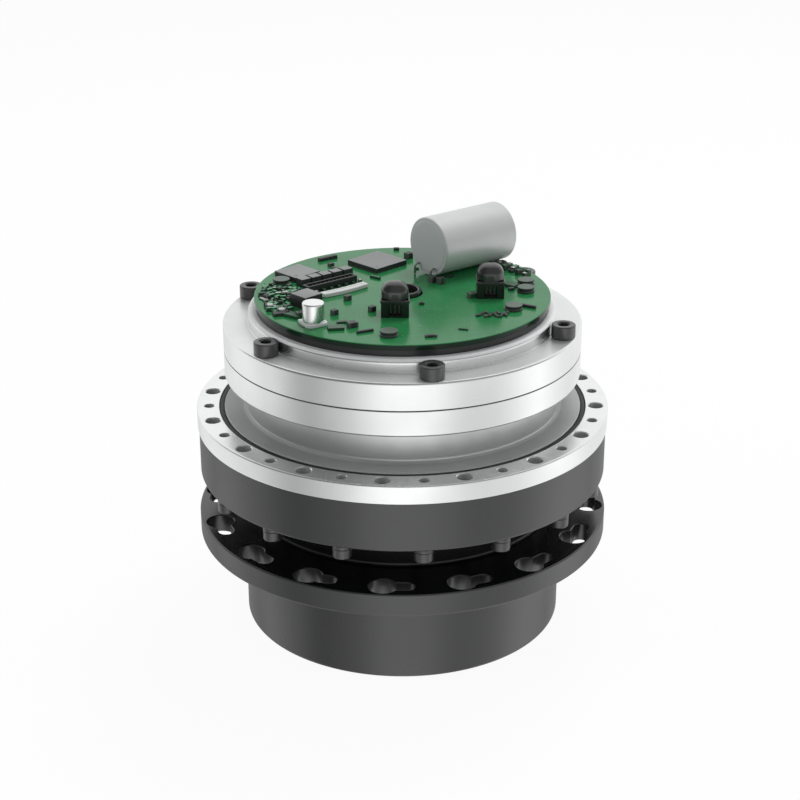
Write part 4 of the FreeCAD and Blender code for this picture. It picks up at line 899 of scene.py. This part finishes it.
def flat_chip(name, width, place, tall=1.5):
    """Flat square chip set corner on, with a row of short leads along each side and a first-pin mark."""
    body = block(name, (width, width, tall - 0.1), (0, 0, 0.1), 0.14)
    mark = lathe("mark", [(0, tall - 0.06), (0.5, tall - 0.06), (0.5, tall + 1), (0, tall + 1)], 0, 24)
    placed(mark, (-width / 2 + 1.4, -width / 2 + 1.4, 0))
    smooth(cut(body, mark), FLAT)
    # Its top is lighter: painted reflection.
    paint(body, SURFACE["chip_plastic"], CHIP_TOP_PAINTED_REFLECTION)
    count = int(width)
    pin = paint(block("pin", (0.45, 0.5, 0.25), (0, 0, 0), 0), CHIP_END)
    pins = []
    for side in range(4):
        for k in range(count):
            one = copy_of(pin)
            placed(one, ((k - (count - 1) / 2) * 0.95, -width / 2 - 0.1, 0))
            pins.append(turned_by(one, side * 90))
    bpy.data.objects.remove(pin)
    return on_board(joined(name, [body] + pins), place, 45)


def flat_chips():
    chips = joined("flat_chips", [
        flat_chip("controller_chip", 13.0, (-7.8, 26.6)),
        flat_chip("driver_chip", 9.8, (-32.0, 15.8)),
    ])
    return seated(chips, "chip_plastic", "housing", "large_chips")


def small_can():
    foot = slab("can_foot", [(-3.3, -2.3), (-2.3, -3.3), (2.3, -3.3), (3.3, -2.3), (3.3, 3.3), (-3.3, 3.3)],
                0, 1.0, 0.15)
    paint(foot, SURFACE["white_plastic"])
    can = lathe("small_can", [
        (0, 1.0),
        (3.05, 1.0, 0.1),
        (3.15, 1.5, 0.2),
        (3.15, 6.6, 0.45),
        (0, 6.6),
    ], 0.2, 64)
    paint(can, SMALL_CAN)
    tabs = [paint(block("tab", (1.0, 1.4, 0.15), (x, 0, 0)), CHIP_END) for x in (-3.5, 3.5)]
    piece = on_board(joined("small_can", [can, foot] + tabs), (-25.0, -27.2), 30)
    return seated(piece, "can_metal", "housing", "smd_capacitor")


def choke():
    body = block("choke", (6.8, 6.8, 3.6), (0, 0, 0.3), 0.35, 3)
    base = block("choke_base", (6.4, 6.4, 0.35), (0, 0, 0), 0.05)
    # Its top is lighter: painted reflection.
    paint(body, SURFACE["black_plastic"], CHIP_TOP_PAINTED_REFLECTION)
    paint(base, CHIP_END)
    piece = on_board(joined("square_choke", [body, base]), (-27.8, -11.7), 45)
    return seated(piece, "black_plastic", "housing", "power_inductor")


def power_row():
    """Slanting row of black power packages with silver tabs at their feet."""
    pieces = []
    for i in range(5):
        x, y = -29.6 + i * 3.9 * ALONG[0], 6.6 + i * 3.9 * ALONG[1]
        body = block("package", (3.4, 3.2, 2.3), (0, 0, 0.1), 0.18)
        # Their tops are lighter: painted reflection.
        paint(body, SURFACE["chip_plastic"], CHIP_TOP_PAINTED_REFLECTION)
        tabs = [paint(block("tab", (0.5, 0.5, 0.3), (k, side * 1.75, 0), 0), CHIP_END)
                for k in (-1.0, 0.0, 1.0) for side in (-1, 1)]
        pieces.append(on_board(joined("package", [body] + tabs), (x, y), SLANT))
    return seated(joined("power_row", pieces), "chip_plastic", "housing", "phase_drivers")


def pin_header():
    """Long black header whose open top shows two rows of pins."""
    body = block("pin_header", (18.0, 3.0, 2.2), (0, 0, 0), 0.12)
    cut(body, block("well", (16.8, 1.8, 2.0), (0, 0, 0.6), 0))
    paint(smooth(body, FLAT), SURFACE["black_plastic"])
    pins = [paint(block("pin", (0.3, 0.3, 1.3), (k * 1.5, side * 0.5, 0.5), 0), CHIP_END)
            for k in range(-5, 6) for side in (-1, 1)]
    piece = on_board(joined("pin_header", [body] + pins), (-21.6, 5.0), SLANT)
    return seated(piece, "black_plastic", "housing", "header_connector")


def ribbon_socket():
    """Flat white socket for a ribbon cable, with a rounded latch."""
    shares = [k / 12 for k in range(13)]
    outline = [(-8.0 + 16.0 * t, -1.3 - 0.7 * math.sin(math.pi * t)) for t in shares]
    outline += [(8.0 - 16.0 * t, 1.3 - 0.5 * math.sin(math.pi * t)) for t in shares]
    piece = slab("ribbon_socket", outline, 0, 1.3, 0.3)
    cut(piece, block("groove", (13.5, 0.3, 1.0), (0, -0.3, 1.1), 0))
    on_board(piece, (-17.3, 0.7), SLANT)
    return dress(smooth(piece, FLAT), "white_plastic", "housing", "ribbon_connector")


def rim_coils():
    """Low round parts: a ferrite drum whose lighter top is a painted reflection."""
    pieces = []
    for x, y in ((37.0, 8.0), (36.6, 1.2), (32.0, -14.7), (-3.7, -36.0), (-36.4, 8.5)):
        drum = lathe("coil", [
            (0, 0),
            (2.6, 0, 0.1),
            (2.6, 0.35, 0.1),
            (2.35, 0.45, 0.05),
            (2.35, 1.05, 0.05),
            (2.6, 1.15, 0.1),
            (2.6, 1.5, 0.2),
            (0, 1.5),
        ], 0.05, 40)
        paint(drum, SURFACE["chip_plastic"], COIL_TOP_PAINTED_REFLECTION)
        pieces.append(on_board(drum, (x, y)))
    return seated(smooth(joined("rim_coils", pieces)), "chip_plastic", "housing", "round_inductors")


def wire_plug(name, place, replaced):
    """Upright connector: an open socket with pins and a band round it, and a plug with a rounded back."""
    seam, tall = 5.2, 4.6
    body = block("socket", (8.0, 7.0, seam), (0, 0, 0), 0.15)
    cut(body, block("cavity", (3.9, 4.0, 3.2), (0, -3.5, 0.6), 0))
    band = block("band", (8.4, 7.4, 0.9), (0, 0, 4.3), 0.2)
    cap = block("cap", (7.8, 6.8, tall), (0, 0, seam), 0)
    pick(cap)
    bpy.ops.object.mode_set(mode="EDIT")
    bpy.ops.mesh.select_mode(type="EDGE")
    bpy.ops.mesh.select_all(action="DESELECT")
    bpy.ops.object.mode_set(mode="OBJECT")
    for edge in cap.data.edges:
        edge.select = any(cap.data.vertices[i].co.z > mm(seam + tall - 0.01) for i in edge.vertices)
    bpy.ops.object.mode_set(mode="EDIT")
    bpy.ops.mesh.bevel(offset=mm(2.9), segments=8, profile=0.5)
    bpy.ops.mesh.select_mode(type="VERT")
    outward(cap)
    pins = [paint(block("pin", (0.4, 2.2, 2.4), (x, -1.0, 0.9), 0), SURFACE["black_screw"])
            for x in (-1.2, 0.0, 1.2)]
    # The socket body gets the deeper black: painted shade.
    paint(smooth(body, FLAT), SHADE_BLACK)
    for part in (band, cap):
        paint(smooth(part, FLAT), SURFACE["plug_plastic"])
    piece = on_board(joined(name, [body, band, cap] + pins), place)
    return seated(piece, "plug_plastic", "housing", replaced)


def chip_part(size, place, turn, body_material, ends=True, top=None):
    """A small two-ended part: a body with solder ends."""
    length, width, height = size
    body = block("small", (length * (0.62 if ends else 1.0), width, height), (0, 0, 0), 0.06)
    paint(body, body_material, top)
    parts = [body]
    for side in (-1, 1) if ends else ():
        end = block("end", (length * 0.2, width, height), (side * length * 0.4, 0, 0), 0.05)
        parts.append(paint(end, CHIP_END))
    return on_board(joined("small", parts), place, turn)


def small_parts():
    """The loose parts that the board carries between its large ones."""
    black, pale, green = SURFACE["chip_plastic"], PALE_BODY, GREEN_BODY
    # Single parts: length, width and height, place, turn, and body
    single = [
        ((1.9, 1.6, 1.5), (-16.0, -6.7), 40, black), ((1.9, 1.6, 1.5), (-19.4, -19.2), 40, black),
        ((1.9, 1.6, 1.5), (-8.7, -16.2), 40, black), ((3.0, 1.2, 0.6), (-17.0, -26.2), 12, green),
        ((4.6, 3.0, 0.8), (-18.6, -31.0), 8, green), ((2.8, 2.2, 1.5), (-14.0, -29.2), 25, black),
        ((5.0, 0.8, 0.7), (-10.4, -33.6), 24, black), ((1.7, 1.4, 1.0), (-22.1, 25.0), 40, black),
        ((6.5, 1.3, 1.0), (-23.4, 31.4), 35, black), ((3.0, 1.0, 0.8), (-20.4, 21.1), -40, black),
        ((3.6, 1.0, 0.7), (-8.2, 13.2), -38, green), ((2.2, 1.5, 0.8), (-34.5, -1.4), 30, pale),
        ((2.6, 1.9, 1.2), (-38.2, -13.6), 10, pale), ((2.6, 1.8, 1.3), (-34.6, -17.6), 15, pale),
        ((4.6, 2.4, 0.9), (-34.6, -19.4), 20, black), ((5.2, 2.6, 0.9), (-31.2, -21.0), -35, green),
        ((2.2, 2.0, 1.6), (-29.1, -21.2), 20, black),
        ((1.9, 1.9, 1.9), (9.0, 9.6), 38, black), ((1.9, 1.9, 1.9), (11.5, 8.2), 38, black),
        ((2.2, 2.0, 1.8), (1.9, 33.0), 45, black), ((1.2, 0.8, 0.5), (4.5, 22.0), 0, black),
        ((1.8, 1.0, 0.8), (-1.9, 41.2), 0, black), ((4.4, 3.4, 0.9), (32.5, 5.9), -35, green),
        ((5.8, 0.9, 0.8), (35.9, -12.8), -28, black), ((1.6, 1.2, 0.8), (32.3, 2.2), 20, black),
        ((2.6, 2.4, 1.4), (20.5, -4.0), 20, green), ((1.6, 1.1, 0.8), (5.6, -10.6), 0, green),
        ((3.4, 1.0, 0.7), (7.9, -37.4), 8, black), ((2.8, 0.6, 0.4), (17.0, -31.7), -15, green),
        ((4.0, 0.5, 0.5), (13.7, 14.3), 5, black),
    ]
    pieces = [chip_part(size, place, turn, body, size[0] < 3.5) for size, place, turn, body in single]
    chance = random.Random(5)

    # Crowded field at the left, clear of the larger parts: x, y and radius of each
    taken = ((-27.8, -11.7, 5.6), (-36.4, 8.5, 3.2), (-34.5, -1.4, 1.5), (-38.2, -13.6, 1.7), (-25.0, -27.2, 4.8),
             (-34.6, -19.4, 2.4), (-29.6, 6.6, 4.0), (-26.5, 9.0, 4.0), (-31.2, -21.0, 2.2))
    for row in range(21):
        for k in range(11):
            x = -42.6 + k * 1.5 + chance.uniform(-0.35, 0.35)
            y = 8.6 - row * 1.45 + chance.uniform(-0.3, 0.3)
            if math.hypot(x, y) > 41.6 or x > -28.2 + 0.2 * y or (
                    any(math.hypot(x - u, y - v) < r for u, v, r in taken)):
                continue
            length = chance.choice((1.0, 1.3, 1.7, 2.1))
            size = (length, length * 0.55, chance.choice((0.4, 0.7, 1.1)))
            # Green tops are lighter than the bodies: painted light.
            body, top = chance.choice(((black, None), (green, GREEN_TOP_PAINTED_LIGHT), (black, GREEN_TOP_PAINTED_LIGHT), (green, GREEN_TOP_PAINTED_LIGHT),
                                       (green, None), (black, GREEN_TOP_PAINTED_LIGHT), (green, pale)))
            turn = chance.choice((38, 128, 60, 10))
            pieces.append(chip_part(size, (x, y), turn, body, length < 1.5, top))

    # Cluster behind the side plug
    for i in range(6):
        for k in range(4):
            x = 27.6 + i * 1.9 + k * 0.6
            y = 25.6 - i * 2.2 + k
            if math.hypot(x, y) > 42.5:
                continue
            size = (chance.choice((1.5, 1.9)), 1.1, chance.choice((0.9, 1.3, 1.6)))
            body, top = chance.choice(((black, None), (green, GREEN_TOP_PAINTED_LIGHT), (black, pale)))
            pieces.append(chip_part(size, (x, y), -50, body, True, top))

    # Two wavy rows at the front right, and one row beside the header
    for i in range(18):
        x = 21.6 + i % 9 + 0.5 * (i // 9)
        y = -20.6 + math.sin(i * 1.9) + 1.7 * (i // 9)
        pieces.append(chip_part((1.5, 0.7, 0.6), (x, y), 15 + 40 * (i % 3), chance.choice((black, green, green))))
    for i in range(7):
        place = (-25.4 + i * 2.1, -0.6 + i * 1.75)
        pieces.append(chip_part((1.3, 0.8, 0.8), place, 128, chance.choice((green, pale, green))))
    return seated(joined("board_small_parts", pieces), "chip_plastic", "housing")


output_hub()
casing_screws()
lock_washers()
drum_bolts()
bearing_casing()
bright_ring()
seal()
lower_drum()
upper_drum()
tube()
board()
big_can()
can_leads()
flat_chips()
small_can()
choke()
power_row()
pin_header()
ribbon_socket()
rim_coils()
wire_plug("front_plug", (-2.1, -18.6), "power_plug")
wire_plug("side_plug", (25.8, -2.3), "signal_plug")
small_parts()

# The CAD nodes that no new piece replaces keep their shape and get their surface
slot_of = {part["node"]: part["material_slot"] for part in frame["record"]["subparts"]}
for name, piece in frame["nodes"].items():
    paint(piece, SURFACE[slot_of[name]])


# Studio

# Grey levels round the light tent, low and high: azimuths are from the front towards +X.
TENT_LOW = ((-180, 0.62), (-115, 0.76), (-88, 0.64), (-60, 0.32), (-38, 0.52), (-8, 1.0), (12, 1.0), (42, 0.60),
            (58, 0.64), (92, 1.0), (125, 0.74), (180, 0.80))
TENT_HIGH = ((-180, 0.85), (-122, 0.80), (-110, 0.16), (-60, 0.12), (-30, 0.15), (0, 0.28), (60, 0.27),
             (104, 0.32), (118, 0.85), (180, 0.85))
TENT_R, TENT_TALL, TENT_GLOW = 1.5, 4.0, 1.18
ROOM_LIGHT = 0.50
FLOOR_GLOW = 0.94

# The photograph's view: angle down, distance in metres, and the rest in its pixels
VIEW_TILT, VIEW_DISTANCE = 22.64, 0.52
PHOTO_SIZE, FOCAL, SHIFT_X, SHIFT_Y = 800.0, 1713.0, -2.4, -1.8
SENSOR = 36.0


def directly_seen(tree):
    """One for rays that reach the eye directly, by gloss or through glass."""
    path = node(tree, "LightPath").outputs
    seen = maths(tree, "MAXIMUM", path["Is Camera Ray"], path["Is Glossy Ray"])
    return maths(tree, "MAXIMUM", seen, path["Is Transmission Ray"])


def shader_mix(tree, factor, first, second):
    return node(tree, "MixShader", {0: factor, 1: first.outputs[0], 2: second.outputs[0]})


def studio_world():
    """A pale backdrop where it is seen, and a cooler, weaker light on everything."""
    world = bpy.data.worlds.new("studio")
    bpy.context.scene.world = world
    tree = emptied(world)
    room = node(tree, "Background", {"Color": (0.97, 0.985, 1.0, 1.0), "Strength": ROOM_LIGHT})
    backdrop = node(tree, "Background", {"Strength": 1.0})
    mix = shader_mix(tree, directly_seen(tree), room, backdrop)
    node(tree, "OutputWorld", {"Surface": mix.outputs[0]})


def floor():
    """Pale floor that is clear from below."""
    put_down()
    bpy.ops.mesh.primitive_plane_add(size=12, location=(0, 0, 0))
    piece = bpy.context.object
    piece.name = "floor"
    material = bpy.data.materials.new("pale floor")
    tree = emptied(material)
    plain = node(tree, "BsdfDiffuse", {"Color": (0.86, 0.86, 0.86, 1.0)})
    white = node(tree, "Emission", {"Strength": 1.0})
    share = maths(tree, "MULTIPLY", directly_seen(tree), FLOOR_GLOW)
    above = shader_mix(tree, share, plain, white)
    below = node(tree, "BsdfTransparent")
    both = shader_mix(tree, node(tree, "NewGeometry").outputs["Backfacing"], above, below)
    node(tree, "OutputMaterial", {"Surface": both.outputs[0]})
    piece.data.materials.append(material)
    piece.visible_glossy = False


def grey_ramp(tree, azimuth_share, levels):
    """Grey levels spread round the axis. levels are (azimuth, level)."""
    spread = node(tree, "ValToRGB", {0: azimuth_share})
    ramp = spread.color_ramp
    ramp.interpolation = "EASE"
    while len(ramp.elements) < len(levels):
        ramp.elements.new(0.5)
    for element, (azimuth, level) in zip(ramp.elements, levels):
        element.position = (azimuth + 180) / 360
        element.color = (*grey(level), 1.0)
    return spread.outputs[0]


def light_tent():
    """Pale tent seen only in reflections: panels beside the floor, a dim front and a bright back."""
    put_down()
    bpy.ops.mesh.primitive_cylinder_add(vertices=96, radius=TENT_R, depth=TENT_TALL, location=(0, 0, 0))
    piece = bpy.context.object
    piece.name = "light_tent"
    material, tree, place = started("tent")
    x, y, z = node(tree, "SeparateXYZ", {0: place}).outputs
    azimuth = maths(tree, "ARCTAN2", x, maths(tree, "MULTIPLY", y, -1.0))
    share = maths(tree, "ADD", maths(tree, "DIVIDE", azimuth, 2 * math.pi), 0.5)
    low, high = (grey_ramp(tree, share, levels) for levels in (TENT_LOW, TENT_HIGH))
    rise = between(tree, z, 0.0, 1.0, start=-0.10, end=0.35, interpolation_type="SMOOTHSTEP")
    glow = node(tree, "Emission", {"Color": mixed(tree, rise, low, high), "Strength": TENT_GLOW})
    node(tree, "OutputMaterial", {"Surface": glow.outputs[0]})
    piece.data.materials.append(material)
    material.cycles.emission_sampling = "NONE"
    for ray in ("camera", "diffuse", "transmission", "shadow", "volume_scatter"):
        setattr(piece, "visible_" + ray, False)


def softbox(name, place, aim, size, power):
    """Area lamp that lights without showing as a highlight. power is in watts."""
    put_down()
    bpy.ops.object.light_add(type="AREA", location=place)
    lamp = bpy.context.object
    lamp.name = name
    lamp.data.shape = "RECTANGLE"
    lamp.data.size, lamp.data.size_y = size
    lamp.data.energy = power
    lamp.rotation_euler = (Vector(aim) - Vector(place)).to_track_quat("-Z", "Y").to_euler()
    lamp.visible_glossy = False


def camera():
    """Looks along +Y and down by the photograph's angle, at the middle of the bright ring's top."""
    put_down()
    tilt = math.radians(VIEW_TILT)
    place = Vector((0, -VIEW_DISTANCE * math.cos(tilt), mm(RING_TOP) + VIEW_DISTANCE * math.sin(tilt)))
    bpy.ops.object.camera_add(location=place, rotation=(math.pi / 2 - tilt, 0, 0))
    eye = bpy.context.object
    eye.data.sensor_width = SENSOR
    eye.data.lens = FOCAL / PHOTO_SIZE * SENSOR
    eye.data.shift_x = SHIFT_X / PHOTO_SIZE
    eye.data.shift_y = SHIFT_Y / PHOTO_SIZE
    eye.data.clip_start = 0.01
    bpy.context.scene.camera = eye


studio_world()
floor()
light_tent()
softbox("key", (0.30, 0.50, 0.95), (0, 0, 0.07), (0.5, 0.4), 6.0)
softbox("left_fill", (-0.8, -0.25, 0.5), (0, 0, 0.06), (0.3, 0.9), 1.6)
softbox("right_fill", (0.85, -0.15, 0.45), (0, 0, 0.06), (0.25, 0.9), 1.6)
camera()
bpy.context.scene.view_settings.view_transform = "Standard"
